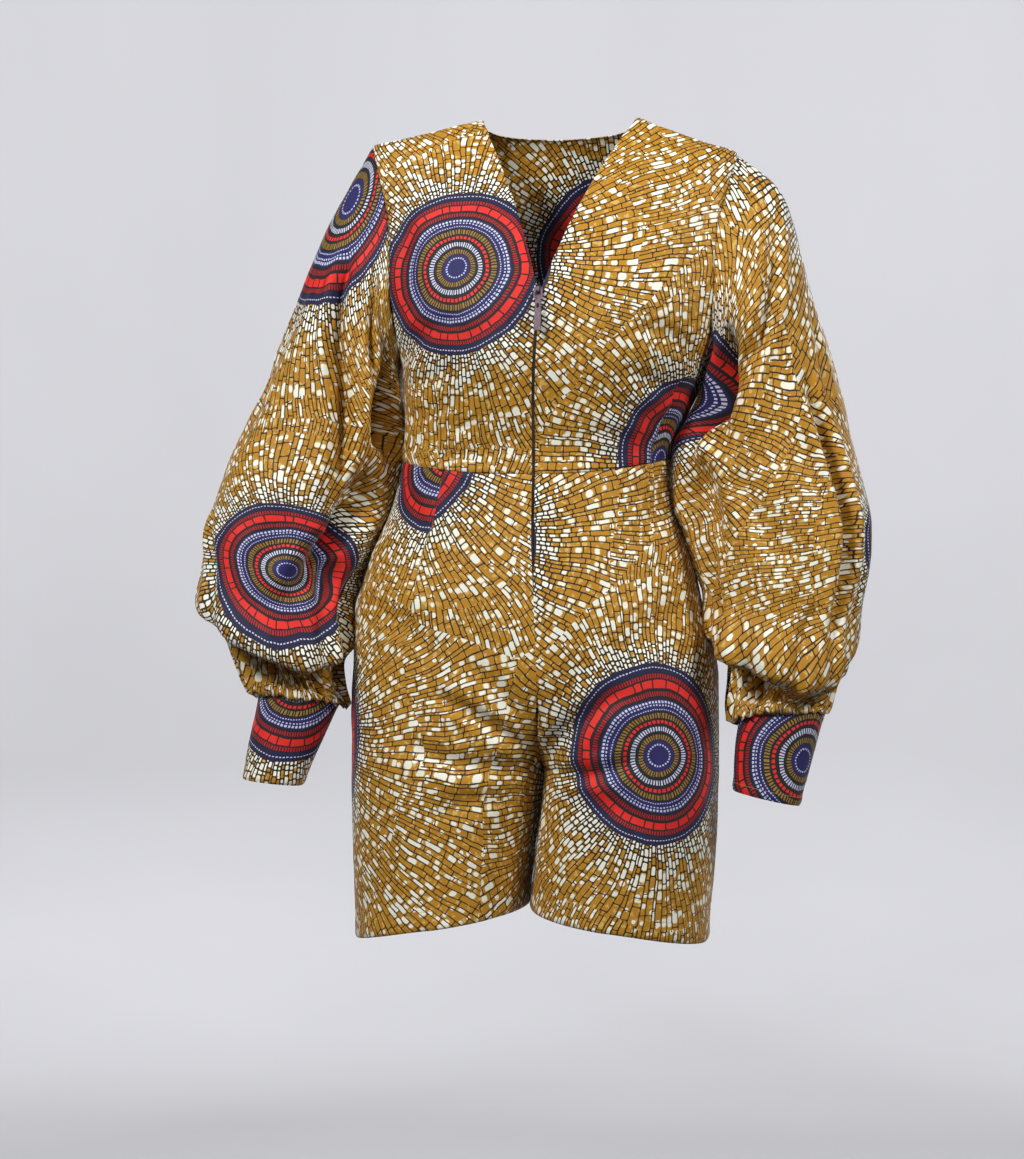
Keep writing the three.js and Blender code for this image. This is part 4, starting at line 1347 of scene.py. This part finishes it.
class Finish:
    """A material's or node group's tree, with short calls that add and link its nodes."""

    def __init__(self, tree):
        self.tree = tree

    def node(self, kind, **settings):
        made = self.tree.nodes.new(kind)
        for key, value in settings.items():
            setattr(made, key, value)
        return made

    def feed(self, socket, value):
        if isinstance(value, bpy.types.NodeSocket):
            self.tree.links.new(value, socket)
        else:
            socket.default_value = value

    def math(self, operation, first, second=0.0, third=0.0, clamped=False):
        made = self.node("ShaderNodeMath", operation=operation, use_clamp=clamped)
        for socket, value in zip(made.inputs, (first, second, third)):
            self.feed(socket, value)
        return made.outputs[0]

    def vector(self, operation, first, second=(0, 0, 0), third=(0, 0, 0), scale=1.0):
        made = self.node("ShaderNodeVectorMath", operation=operation)
        for socket, value in zip(made.inputs, (first, second, third)):
            self.feed(socket, value)
        if operation == "SCALE":
            self.feed(made.inputs["Scale"], scale)
        return made.outputs["Value"] if operation in ("LENGTH", "DISTANCE") else made.outputs[0]

    def blend(self, share, first, second):
        made = self.node("ShaderNodeMix", data_type="RGBA")
        self.feed(made.inputs["Factor"], share)
        self.feed(made.inputs[6], first)
        self.feed(made.inputs[7], second)
        return made.outputs[2]

    def choose(self, share, first, second):
        made = self.node("ShaderNodeMix", data_type="VECTOR")
        self.feed(made.inputs["Factor"], share)
        self.feed(made.inputs[4], first)
        self.feed(made.inputs[5], second)
        return made.outputs[1]

    def noise(self, vector, size, detail, dimensions="2D"):
        """Noise whose grain is about size in the units of the vector."""
        made = self.node("ShaderNodeTexNoise", noise_dimensions=dimensions)
        self.feed(made.inputs["Vector"], vector)
        made.inputs["Scale"].default_value = 1 / size
        made.inputs["Detail"].default_value = detail
        return made

    def random(self, vector):
        made = self.node("ShaderNodeTexWhiteNoise", noise_dimensions="3D")
        self.feed(made.inputs["Vector"], vector)
        return made

    def join(self, x, y, z=0.0):
        made = self.node("ShaderNodeCombineXYZ")
        for socket, value in zip(made.inputs, (x, y, z)):
            self.feed(socket, value)
        return made.outputs[0]

    def split(self, vector):
        made = self.node("ShaderNodeSeparateXYZ")
        self.feed(made.inputs[0], vector)
        return made.outputs

    def bump(self, height, strength, distance):
        """A normal for a relief of small heights; the distance is in metres."""
        made = self.node("ShaderNodeBump")
        made.inputs["Strength"].default_value = strength
        made.inputs["Distance"].default_value = distance
        self.feed(made.inputs["Height"], height)
        return made.outputs[0]

    def flat_map(self):
        return self.node("ShaderNodeUVMap", uv_map="cloth").outputs[0]

    def object_place(self):
        return self.node("ShaderNodeTexCoord").outputs["Object"]


def colour(red, green, blue):
    """A colour given as it looks, 0 to 255, turned into light."""
    channels = []
    for value in (red, green, blue):
        share = value / 255
        channels.append(share / 12.92 if share <= 0.04045 else ((share + 0.055) / 1.055) ** 2.4)
    return (*channels, 1.0)


OCHRE = colour(190, 135, 32)
PALE_OCHRE = colour(232, 203, 122)
CREAM = colour(252, 250, 234)
OUTLINE = colour(42, 28, 12)
RED = colour(232, 44, 34)
DARK_RED = colour(176, 26, 30)
NAVY = colour(36, 34, 92)
DEEP_NAVY = colour(24, 24, 60)
BLACK = colour(22, 19, 24)
WHITE = colour(214, 218, 240)
OLIVE = colour(158, 124, 44)

DISC_EDGE = 89.5

# Plain bands of a disc: where each ends, in mm from the middle, and its colour
DISC_BANDS = [
    (15.4, NAVY),
    (45.0, BLACK),
    (57.0, NAVY),
    (80.4, BLACK),
    (DISC_EDGE, DEEP_NAVY),
]

# Rings of small marks on those bands: middle, half height, marks round it, how much of
# each step a mark fills, how unevenly they are spaced, and their colour
DISC_MARKS = [
    (10.7, 0.8, 24, 0.5, 0.0, WHITE),
    (18.4, 2.4, 46, 0.5, 0.3, OLIVE),
    (26.4, 2.3, 62, 0.52, 0.2, WHITE),
    (34.0, 1.6, 46, 0.66, 0.1, RED),
    (40.6, 2.6, 84, 0.52, 0.3, OLIVE),
    (46.9, 0.5, 112, 0.5, 0.0, WHITE),
    (51.2, 0.7, 92, 0.5, 0.0, WHITE),
    (54.4, 1.15, 92, 0.6, 0.0, WHITE),
    (61.9, 2.1, 150, 0.56, 0.2, DARK_RED),
    (70.4, 3.4, 34, 0.88, 0.62, RED),
    (77.4, 2.0, 170, 0.58, 0.2, DARK_RED),
    (85.2, 0.5, 150, 0.55, 0.0, WHITE),
]

RAYS = 160
RAY_UNEVENNESS = 0.55
BRICK_UNEVENNESS = 0.66
BRICKS_FROM = 80.0  # mm from a disc's middle
BRICK_POWER = 0.4
BRICK_DENSITY = 2.3
BRICKS_GROW_TO = 92.0  # mm beyond where they start
LONGEST_BRICK = BRICKS_GROW_TO ** (1 - BRICK_POWER) / (BRICK_POWER * BRICK_DENSITY)
RAYS_PART_AT = 172.0
MORE_RAYS = 92
RAY_SWING = 0.02  # turn by which rays swing sideways, far from their disc
RAY_BEND_SIZE = 110.0
SWING_GROWS_OVER = 120
PARTING_WANDERS = 60.0
LEAST_REACH = 4.0
ROW_SHIFT = 9.0

# The patches of the ground: where they start to change, in mm from a disc's middle, over
# what length, and the share of bricks that the wax kept pale near the disc and further out
FAR_FROM = 96.0
FAR_OVER = 40
PALE_SHARE_NEAR = 0.76
PALE_SHARE_LOSS = 0.4
HALO_WIDTH = 0.8
MOTTLE_SIZE = 6.0
MOTTLE_ABOVE = 0.57
MOTTLE_CONTRAST = 12.0
VEIL_STRENGTH = 0.6

# How much of a brick its pale patch leaves at the ends, of the half length; how far the
# patch may lie off the middle, of what it leaves; and what it leaves at the sides, in mm
PATCH_LEAVES_LEAST = 0.3
PATCH_LEAVES_MORE = 0.45
PATCH_SHIFT = 1.6
PATCH_LEAVES_SIDES = 0.7
PATCH_ROUNDING = 0.85

# Drops of cream: the size of their cells in mm, their radius in cells, and the least chance
# and least distance from the disc at which a cell has one
DROP_CELL = 8.0
DROP_RADIUS = 0.36
DROP_CHANCE = 0.72
DROP_FAR = 0.6

# The dark lines between bricks: half widths near the disc, what they lose further out, and
# how round the bricks' corners are
LINE_HALF_WIDTH = 0.74
SIDE_LINE_LOSS = 0.14
END_LINE_LOSS = 0.08
CORNER_SHARE = 0.8
CORNER_LOSS = 0.4


def nearest_centre(make, place, centres):
    """The place seen from the middle of the ray field it lies in; z is the field's number."""
    local = None
    for number, (x, y, reach) in enumerate(centres):
        offset = make.vector("SUBTRACT", place, (x, y, -number))
        share = make.math("DIVIDE", make.vector("LENGTH", offset), reach)
        if local is None:
            local = offset
            least = share
        else:
            local = make.choose(make.math("LESS_THAN", share, least), local, offset)
            least = make.math("MINIMUM", share, least)
    return local


def uneven_cells(make, value, seed, unevenness):
    """Cells of uneven length along a value: number, way back to the start, way on to the end."""
    def edge_of(number):
        chance = make.random(make.join(number, seed, 7.0)).outputs["Value"]
        return make.math("MULTIPLY_ADD", chance, unevenness, number)

    whole = make.math("FLOOR", value)
    cell = make.math("SUBTRACT", whole, make.math("LESS_THAN", value, edge_of(whole)))
    back = make.math("SUBTRACT", value, edge_of(cell))
    onward = make.math("SUBTRACT", edge_of(make.math("ADD", cell, 1.0)), value)
    return cell, back, onward


def ring_of_marks(make, base, radius, turn, row):
    middle, half_height, count, share, unevenness, tint = row
    _, back, onward = uneven_cells(make, make.math("MULTIPLY", turn, count), middle, unevenness)
    edge = make.math("MINIMUM", back, onward)
    in_mark = make.math("GREATER_THAN", edge, (1 - share) / 2)
    above = make.math("ABSOLUTE", make.math("SUBTRACT", radius, middle))
    in_ring = make.math("LESS_THAN", above, half_height)
    return make.blend(make.math("MULTIPLY", in_mark, in_ring), base, tint)


def disc_colours(make, radius, turn):
    """A disc of the print: plain bands with rings of ticks, dots and bricks."""
    result = DISC_BANDS[0][1]
    for (edge, _), (_, tint) in zip(DISC_BANDS, DISC_BANDS[1:]):
        result = make.blend(make.math("GREATER_THAN", radius, edge), result, tint)
    for row in DISC_MARKS:
        result = ring_of_marks(make, result, radius, turn, row)
    return result


def ground_colours(make, place, radius, turn, field):
    """Bricks in rays round each disc, small and pale near it, larger and ochre further out."""
    bend = make.math("SUBTRACT", make.noise(place, RAY_BEND_SIZE, 1.0).outputs[0], 0.5)
    beyond_disc = make.math("SUBTRACT", radius, DISC_EDGE)
    away = make.math("MULTIPLY", beyond_disc, 1 / SWING_GROWS_OVER, clamped=True)
    swing = make.math("MULTIPLY", make.math("MULTIPLY", bend, away), RAY_SWING)
    swung = make.math("ADD", turn, swing)
    wandered = make.math("MULTIPLY_ADD", bend, PARTING_WANDERS, radius)
    parted = make.math("GREATER_THAN", wandered, RAYS_PART_AT)
    count = make.math("MULTIPLY_ADD", parted, MORE_RAYS, RAYS)
    rays = make.math("MULTIPLY", swung, count)
    field = make.math("MULTIPLY_ADD", parted, 20.0, field)
    ray, ray_back, ray_on = uneven_cells(make, rays, field, RAY_UNEVENNESS)
    ray_step = make.math("DIVIDE", make.math("MULTIPLY", radius, 2 * math.pi), count)
    side_back = make.math("MULTIPLY", ray_back, ray_step)
    side_on = make.math("MULTIPLY", ray_on, ray_step)

    reach = make.math("MAXIMUM", make.math("SUBTRACT", radius, BRICKS_FROM), LEAST_REACH)
    near = make.math("MINIMUM", reach, BRICKS_GROW_TO)
    chance = make.random(make.join(ray, field, 3.0)).outputs["Value"]
    start = make.math("MULTIPLY", chance, ROW_SHIFT)
    rows = make.math("MULTIPLY", make.math("POWER", near, BRICK_POWER), BRICK_DENSITY)
    even_rows = make.math("DIVIDE", make.math("SUBTRACT", reach, near), LONGEST_BRICK)
    rows = make.math("ADD", rows, even_rows)
    seed = make.math("MULTIPLY_ADD", field, 1000.0, ray)
    row, row_back, row_on = uneven_cells(
        make, make.math("ADD", rows, start), seed, BRICK_UNEVENNESS,
    )
    growth = make.math("POWER", near, 1 - BRICK_POWER)
    row_step = make.math("DIVIDE", growth, BRICK_POWER * BRICK_DENSITY)
    end_back = make.math("MULTIPLY", row_back, row_step)
    end_on = make.math("MULTIPLY", row_on, row_step)

    half_across = make.math("MULTIPLY", make.math("ADD", side_back, side_on), 0.5)
    half_along = make.math("MULTIPLY", make.math("ADD", end_back, end_on), 0.5)
    aside = make.math("ABSOLUTE", make.math("SUBTRACT", side_back, half_across))
    ahead = make.math("SUBTRACT", end_back, half_along)
    far = make.math("MULTIPLY", make.math("SUBTRACT", radius, FAR_FROM), 1 / FAR_OVER, clamped=True)
    chances = make.split(make.random(make.join(ray, row, field)).outputs["Color"])
    beyond = beyond_patch(make, aside, ahead, half_across, half_along, chances, far)
    pale_share = make.math("MULTIPLY_ADD", far, -PALE_SHARE_LOSS, PALE_SHARE_NEAR)
    pale = make.math("LESS_THAN", chances[0], pale_share)
    blob = make.math("MULTIPLY", pale, make.math("LESS_THAN", beyond, 0.0))
    halo = make.math("MULTIPLY", pale, make.math("LESS_THAN", beyond, HALO_WIDTH))

    mottle = make.math("SUBTRACT", make.noise(place, MOTTLE_SIZE, 3.0).outputs[0], MOTTLE_ABOVE)
    mottled = make.math("MULTIPLY", mottle, MOTTLE_CONTRAST, clamped=True)
    veil = make.math("MULTIPLY", make.math("MAXIMUM", mottled, halo), VEIL_STRENGTH)
    result = make.blend(veil, OCHRE, PALE_OCHRE)
    result = make.blend(make.math("MAXIMUM", blob, bubbles(make, place, far)), result, CREAM)

    margin = make.math("MULTIPLY_ADD", far, -SIDE_LINE_LOSS, LINE_HALF_WIDTH)
    end_margin = make.math("MULTIPLY_ADD", far, -END_LINE_LOSS, margin)
    across = make.math("SUBTRACT", half_across, margin)
    along = make.math("SUBTRACT", half_along, end_margin)
    share = make.math("MULTIPLY_ADD", far, -CORNER_LOSS, CORNER_SHARE)
    outside = rounded_distance(make, aside, make.math("ABSOLUTE", ahead), across, along, share)
    return make.blend(make.math("GREATER_THAN", outside, 0.0), result, OUTLINE)


def rounded_distance(make, aside, away, across, along, share):
    """How far a place is outside a rounded oblong, given its half sizes and how round it is."""
    rounding = make.math("MULTIPLY", make.math("MINIMUM", across, along), share)
    over_side = make.math("ADD", make.math("SUBTRACT", aside, across), rounding)
    over_end = make.math("ADD", make.math("SUBTRACT", away, along), rounding)
    corner = make.vector("LENGTH", make.join(
        make.math("MAXIMUM", over_side, 0.0), make.math("MAXIMUM", over_end, 0.0),
    ))
    return make.math("SUBTRACT", corner, rounding)


def beyond_patch(make, aside, ahead, half_across, half_along, chances, far):
    """How far a place is outside the rounded patch that the wax kept pale in its brick."""
    spare = make.math("MULTIPLY", far, make.math(
        "MULTIPLY_ADD", chances[2], PATCH_LEAVES_MORE, PATCH_LEAVES_LEAST,
    ))
    shift = make.math("MULTIPLY", make.math("SUBTRACT", chances[1], 0.5), PATCH_SHIFT)
    shift = make.math("MULTIPLY", shift, make.math("MULTIPLY", half_along, spare))
    away = make.math("ABSOLUTE", make.math("SUBTRACT", ahead, shift))
    along = make.math("MULTIPLY", half_along, make.math("SUBTRACT", 1.0, spare))
    across = make.math("SUBTRACT", half_across, make.math("MULTIPLY", far, PATCH_LEAVES_SIDES))
    return rounded_distance(make, aside, away, across, along, PATCH_ROUNDING)


def bubbles(make, place, far):
    """Loose round drops of cream over the larger bricks."""
    drops = make.node("ShaderNodeTexVoronoi", voronoi_dimensions="2D")
    make.feed(drops.inputs["Vector"], place)
    drops.inputs["Scale"].default_value = 1 / DROP_CELL
    chance = make.split(drops.outputs["Color"])[0]
    radius = make.math("MULTIPLY", chance, DROP_RADIUS)
    inside = make.math("LESS_THAN", drops.outputs["Distance"], radius)
    kept = make.math("MULTIPLY", inside, make.math("GREATER_THAN", chance, DROP_CHANCE))
    return make.math("MULTIPLY", kept, make.math("GREATER_THAN", far, DROP_FAR))


def wax_print():
    """Node group: the print's colour at a place seen from the middle of its field, in mm."""
    group = bpy.data.node_groups.new("wax_print", "ShaderNodeTree")
    group.interface.new_socket("Local", in_out="INPUT", socket_type="NodeSocketVector")
    group.interface.new_socket("Place", in_out="INPUT", socket_type="NodeSocketVector")
    group.interface.new_socket("Color", in_out="OUTPUT", socket_type="NodeSocketColor")
    make = Finish(group)
    local, place = make.node("NodeGroupInput").outputs[:2]
    x, y, field = make.split(local)
    radius = make.vector("LENGTH", make.join(x, y))
    turn = make.math("ADD", make.math("DIVIDE", make.math("ARCTAN2", y, x), 2 * math.pi), 0.5)
    ground = ground_colours(make, place, radius, turn, field)
    disc = disc_colours(make, radius, turn)
    inside = make.math("LESS_THAN", radius, DISC_EDGE)
    output = make.node("NodeGroupOutput")
    make.feed(output.inputs[0], make.blend(inside, ground, disc))
    return group


def drawn_by_hand(make, place):
    """The place, shifted by slow and quick unevenness, as lines drawn in wax wander."""
    for size, detail, shift in ((85.0, 1.0, 12.0), (9.0, 2.0, 1.5)):
        wander = make.noise(place, size, detail).outputs["Color"]
        wander = make.vector("SUBTRACT", wander, (0.5, 0.5, 0.5))
        place = make.vector("ADD", place, make.vector("SCALE", wander, scale=shift))
    return make.vector("MULTIPLY", place, (1, 1, 0))


def new_material(name):
    material = bpy.data.materials.new(name)
    material.use_nodes = True
    return material, Finish(material.node_tree), material.node_tree.nodes["Principled BSDF"]


def printed_cotton(panel, group):
    """Waxed plain-weave cotton with the print on both faces."""
    material, make, shader = new_material(f"printed_cotton_{panel}")
    cloth = make.flat_map()
    place = make.vector("SCALE", cloth, scale=1000.0)
    drawn = drawn_by_hand(make, place)
    print_node = make.node("ShaderNodeGroup", node_tree=group)
    make.feed(print_node.inputs[0], nearest_centre(make, drawn, print_centres[panel]))
    make.feed(print_node.inputs[1], place)
    make.feed(shader.inputs["Base Color"], print_node.outputs[0])
    shader.inputs["Roughness"].default_value = 0.62
    shader.inputs["Specular IOR Level"].default_value = 0.3
    shader.inputs["Sheen Weight"].default_value = 0.08
    shader.inputs["Sheen Roughness"].default_value = 0.45
    make.feed(shader.inputs["Normal"], weave_bump(make, cloth))
    return material


COTTON_PITCH = 0.0007
CRUMPLE_SIZE = 0.011
TAPE_PITCH = 0.0009


def weave_bump(make, cloth):
    """Plain weave, with a faint crumple over it."""
    threads = make.split(make.vector("SCALE", cloth, scale=2 * math.pi / COTTON_PITCH))
    weave = make.math("MULTIPLY", make.math("SINE", threads[0]), make.math("SINE", threads[1]))
    crumple = make.noise(cloth, CRUMPLE_SIZE, 3.0).outputs[0]
    height = make.math("ADD", make.math("MULTIPLY", weave, 0.04), crumple)
    return make.bump(height, 0.5, 0.0012)


def tape_cloth():
    material, make, shader = new_material("zip_tape")
    cloth = make.flat_map()
    ribs = make.split(make.vector("SCALE", cloth, scale=2 * math.pi / TAPE_PITCH))
    wave = make.math("MULTIPLY_ADD", make.math("SINE", ribs[1]), 0.5, 0.5)
    # The tape's own dark brown-red, darkened further as painted shade of the narrow slit it lies
    # behind; darker in the hollows between its ribs than on their crests: painted shade over the ribs'
    # relief.
    shade = make.blend(wave, colour(64, 42, 45), colour(98, 70, 73))
    make.feed(shader.inputs["Base Color"], shade)
    shader.inputs["Roughness"].default_value = 0.75
    make.feed(shader.inputs["Normal"], make.bump(wave, 0.4, 0.0003))
    return material


THREAD_GRAIN = 1 / 1400
PLATING_GRAIN = 1 / 420


def plain_thread(name, shade, deeper, roughness):
    """Spun thread or coil: two close shades in a fine grain."""
    material, make, shader = new_material(name)
    grain = make.noise(make.object_place(), THREAD_GRAIN, 3.0, "3D").outputs[0]
    make.feed(shader.inputs["Base Color"], make.blend(grain, deeper, shade))
    shader.inputs["Roughness"].default_value = roughness
    make.feed(shader.inputs["Normal"], make.bump(grain, 0.3, 0.0002))
    return material


def satin_metal():
    """Mauve-grey plating, a little uneven and rubbed."""
    material, make, shader = new_material("satin_metal")
    grain = make.noise(make.object_place(), PLATING_GRAIN, 4.0, "3D").outputs[0]
    shade = make.blend(grain, colour(74, 60, 68), colour(128, 112, 122))
    make.feed(shader.inputs["Base Color"], shade)
    shader.inputs["Metallic"].default_value = 1.0
    make.feed(shader.inputs["Roughness"], make.math("MULTIPLY_ADD", grain, 0.2, 0.34))
    make.feed(shader.inputs["Normal"], make.bump(grain, 0.15, 0.0002))
    return material


# ---------------------------------------------------------------- stage, light and camera

FLOOR_Z = -1.45
WALL_RADIUS = 6.0
SWEEP_RADIUS = 3.6
SWEEP_STEPS = 16
FLOOR_STEPS = 96
GARMENT_MIDDLE = (0, 0, -0.42)
STUDIO_LIGHTS = [
    # name, place, width, power
    ("key", (-1.5, -2.1, 1.5), 0.7, 78),
    ("side", (2.3, -1.5, 1.3), 0.8, 58),
    ("fill", (0.2, -3.2, 0.7), 1.2, 9),
    ("back_left", (-1.3, 3.0, 1.1), 1.4, 44),
    ("back_right", (1.5, 3.0, 0.8), 1.4, 26),
]
WALL_LIGHTS = 8
WALL_LIGHT_RING = 1.5
WALL_LIGHT_HEIGHT = 1.6
WALL_LIGHT_WIDTH = 1.2
WALL_LIGHT_AIM = 2.3
WALL_LIGHT_POWER = 98
WORLD_STRENGTH = 0.05
AIM_AZIMUTH = math.radians(8)
CAMERA_DISTANCE = 2.8
CAMERA_ASIDE = -0.0494
CAMERA_HEIGHT = -0.4753
SENSOR_HEIGHT = 24
FRAME_HEIGHT = 1.1938  # metres that the picture's height covers at the origin's distance

right_way = Vector((math.cos(AIM_AZIMUTH), math.sin(AIM_AZIMUTH), 0))
back_way = Vector((math.sin(AIM_AZIMUTH), -math.cos(AIM_AZIMUTH), 0))
eye = right_way * CAMERA_ASIDE + Vector((0, 0, CAMERA_HEIGHT)) + back_way * CAMERA_DISTANCE


def make_floor():
    """A pale floor that sweeps up into a low round wall."""
    mesh = bmesh.new()
    flat = WALL_RADIUS - SWEEP_RADIUS
    profile = [Vector((0, 0, FLOOR_Z)), Vector((flat, 0, FLOOR_Z))]
    for step in range(1, SWEEP_STEPS + 1):
        turn = math.radians(90 * step / SWEEP_STEPS)
        out = flat + SWEEP_RADIUS * math.sin(turn)
        profile.append(Vector((out, 0, FLOOR_Z + SWEEP_RADIUS * (1 - math.cos(turn)))))
    line = [mesh.verts.new(point) for point in profile]
    edges = [mesh.edges.new(pair) for pair in zip(line, line[1:])]
    bmesh.ops.spin(
        mesh, geom=line + edges, axis=(0, 0, 1), cent=(0, 0, 0), angle=2 * math.pi, steps=FLOOR_STEPS,
        use_merge=True, use_duplicate=False,
    )
    bmesh.ops.remove_doubles(mesh, verts=mesh.verts, dist=0.0005)
    bmesh.ops.recalc_face_normals(mesh, faces=mesh.faces)
    floor = finished("floor", mesh)
    material, make, shader = new_material("pale_floor")
    grain = make.noise(make.object_place(), 0.5, 3.0).outputs[0]
    shade = make.blend(grain, colour(206, 206, 211), colour(212, 212, 217))
    make.feed(shader.inputs["Base Color"], shade)
    shader.inputs["Roughness"].default_value = 0.9
    floor.data.materials.append(material)
    floor.visible_diffuse = False


def make_light(name, place, target, width, power):
    data = bpy.data.lights.new(name, "AREA")
    data.shape = "DISK"
    data.size = width
    data.energy = power
    light = bpy.data.objects.new(name, data)
    light.location = place
    light.rotation_euler = (Vector(target) - Vector(place)).to_track_quat("-Z", "Y").to_euler()
    light.visible_camera = False
    bpy.context.collection.objects.link(light)


def make_studio():
    for name, place, width, power in STUDIO_LIGHTS:
        make_light(name, place, GARMENT_MIDDLE, width, power)
    for number in range(WALL_LIGHTS):
        turn = 2 * math.pi * number / WALL_LIGHTS
        way = Vector((math.cos(turn), math.sin(turn), 0))
        place = way * WALL_LIGHT_RING + Vector((0, 0, WALL_LIGHT_HEIGHT))
        target = way * WALL_RADIUS + Vector((0, 0, WALL_LIGHT_AIM))
        make_light(f"wall_{number}", place, target, WALL_LIGHT_WIDTH, WALL_LIGHT_POWER)
    world = bpy.data.worlds.new("studio")
    world.use_nodes = True
    background = world.node_tree.nodes["Background"]
    background.inputs["Color"].default_value = colour(226, 227, 232)
    background.inputs["Strength"].default_value = WORLD_STRENGTH
    bpy.context.scene.world = world


def make_camera():
    data = bpy.data.cameras.new("camera")
    data.sensor_fit = "VERTICAL"
    data.sensor_height = SENSOR_HEIGHT
    data.lens = SENSOR_HEIGHT * CAMERA_DISTANCE / FRAME_HEIGHT
    camera = bpy.data.objects.new("camera", data)
    camera.location = eye
    camera.rotation_euler = (-back_way).to_track_quat("-Z", "Y").to_euler()
    bpy.context.collection.objects.link(camera)
    bpy.context.scene.camera = camera


# ---------------------------------------------------------------- the whole garment

def dress():
    group = wax_print()
    for piece in make_bodice() + make_shorts() + make_sleeves():
        panel = piece.name.removesuffix("_cloth")
        piece.data.materials.append(printed_cotton(panel, group))
        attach(piece, "garment")
        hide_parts(panel)
    tape = make_tape()
    tape.data.materials.append(tape_cloth())
    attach(tape, "garment")
    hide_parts("zip_tape")
    teeth = make_teeth()
    # The coil's own dark brown, darkened to near black as painted shade of the narrow slit it lies in.
    coil_colour_and_painted_shade = plain_thread("zip_coil_and_painted_shade", colour(52, 36, 40), colour(30, 20, 24), 0.45)
    teeth.data.materials.append(coil_colour_and_painted_shade)
    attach(teeth, "garment")
    stitches = make_hem_stitches()
    thread = plain_thread("thread", colour(206, 164, 84), colour(150, 108, 40), 0.8)
    stitches.data.materials.append(thread)
    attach(stitches, "garment")
    metal = satin_metal()
    for node in ("zip_slider", "zip_pull"):
        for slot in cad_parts[node].material_slots:
            slot.material = metal


bpy.context.scene.view_settings.view_transform = "Standard"
make_camera()
make_studio()
make_floor()
dress()
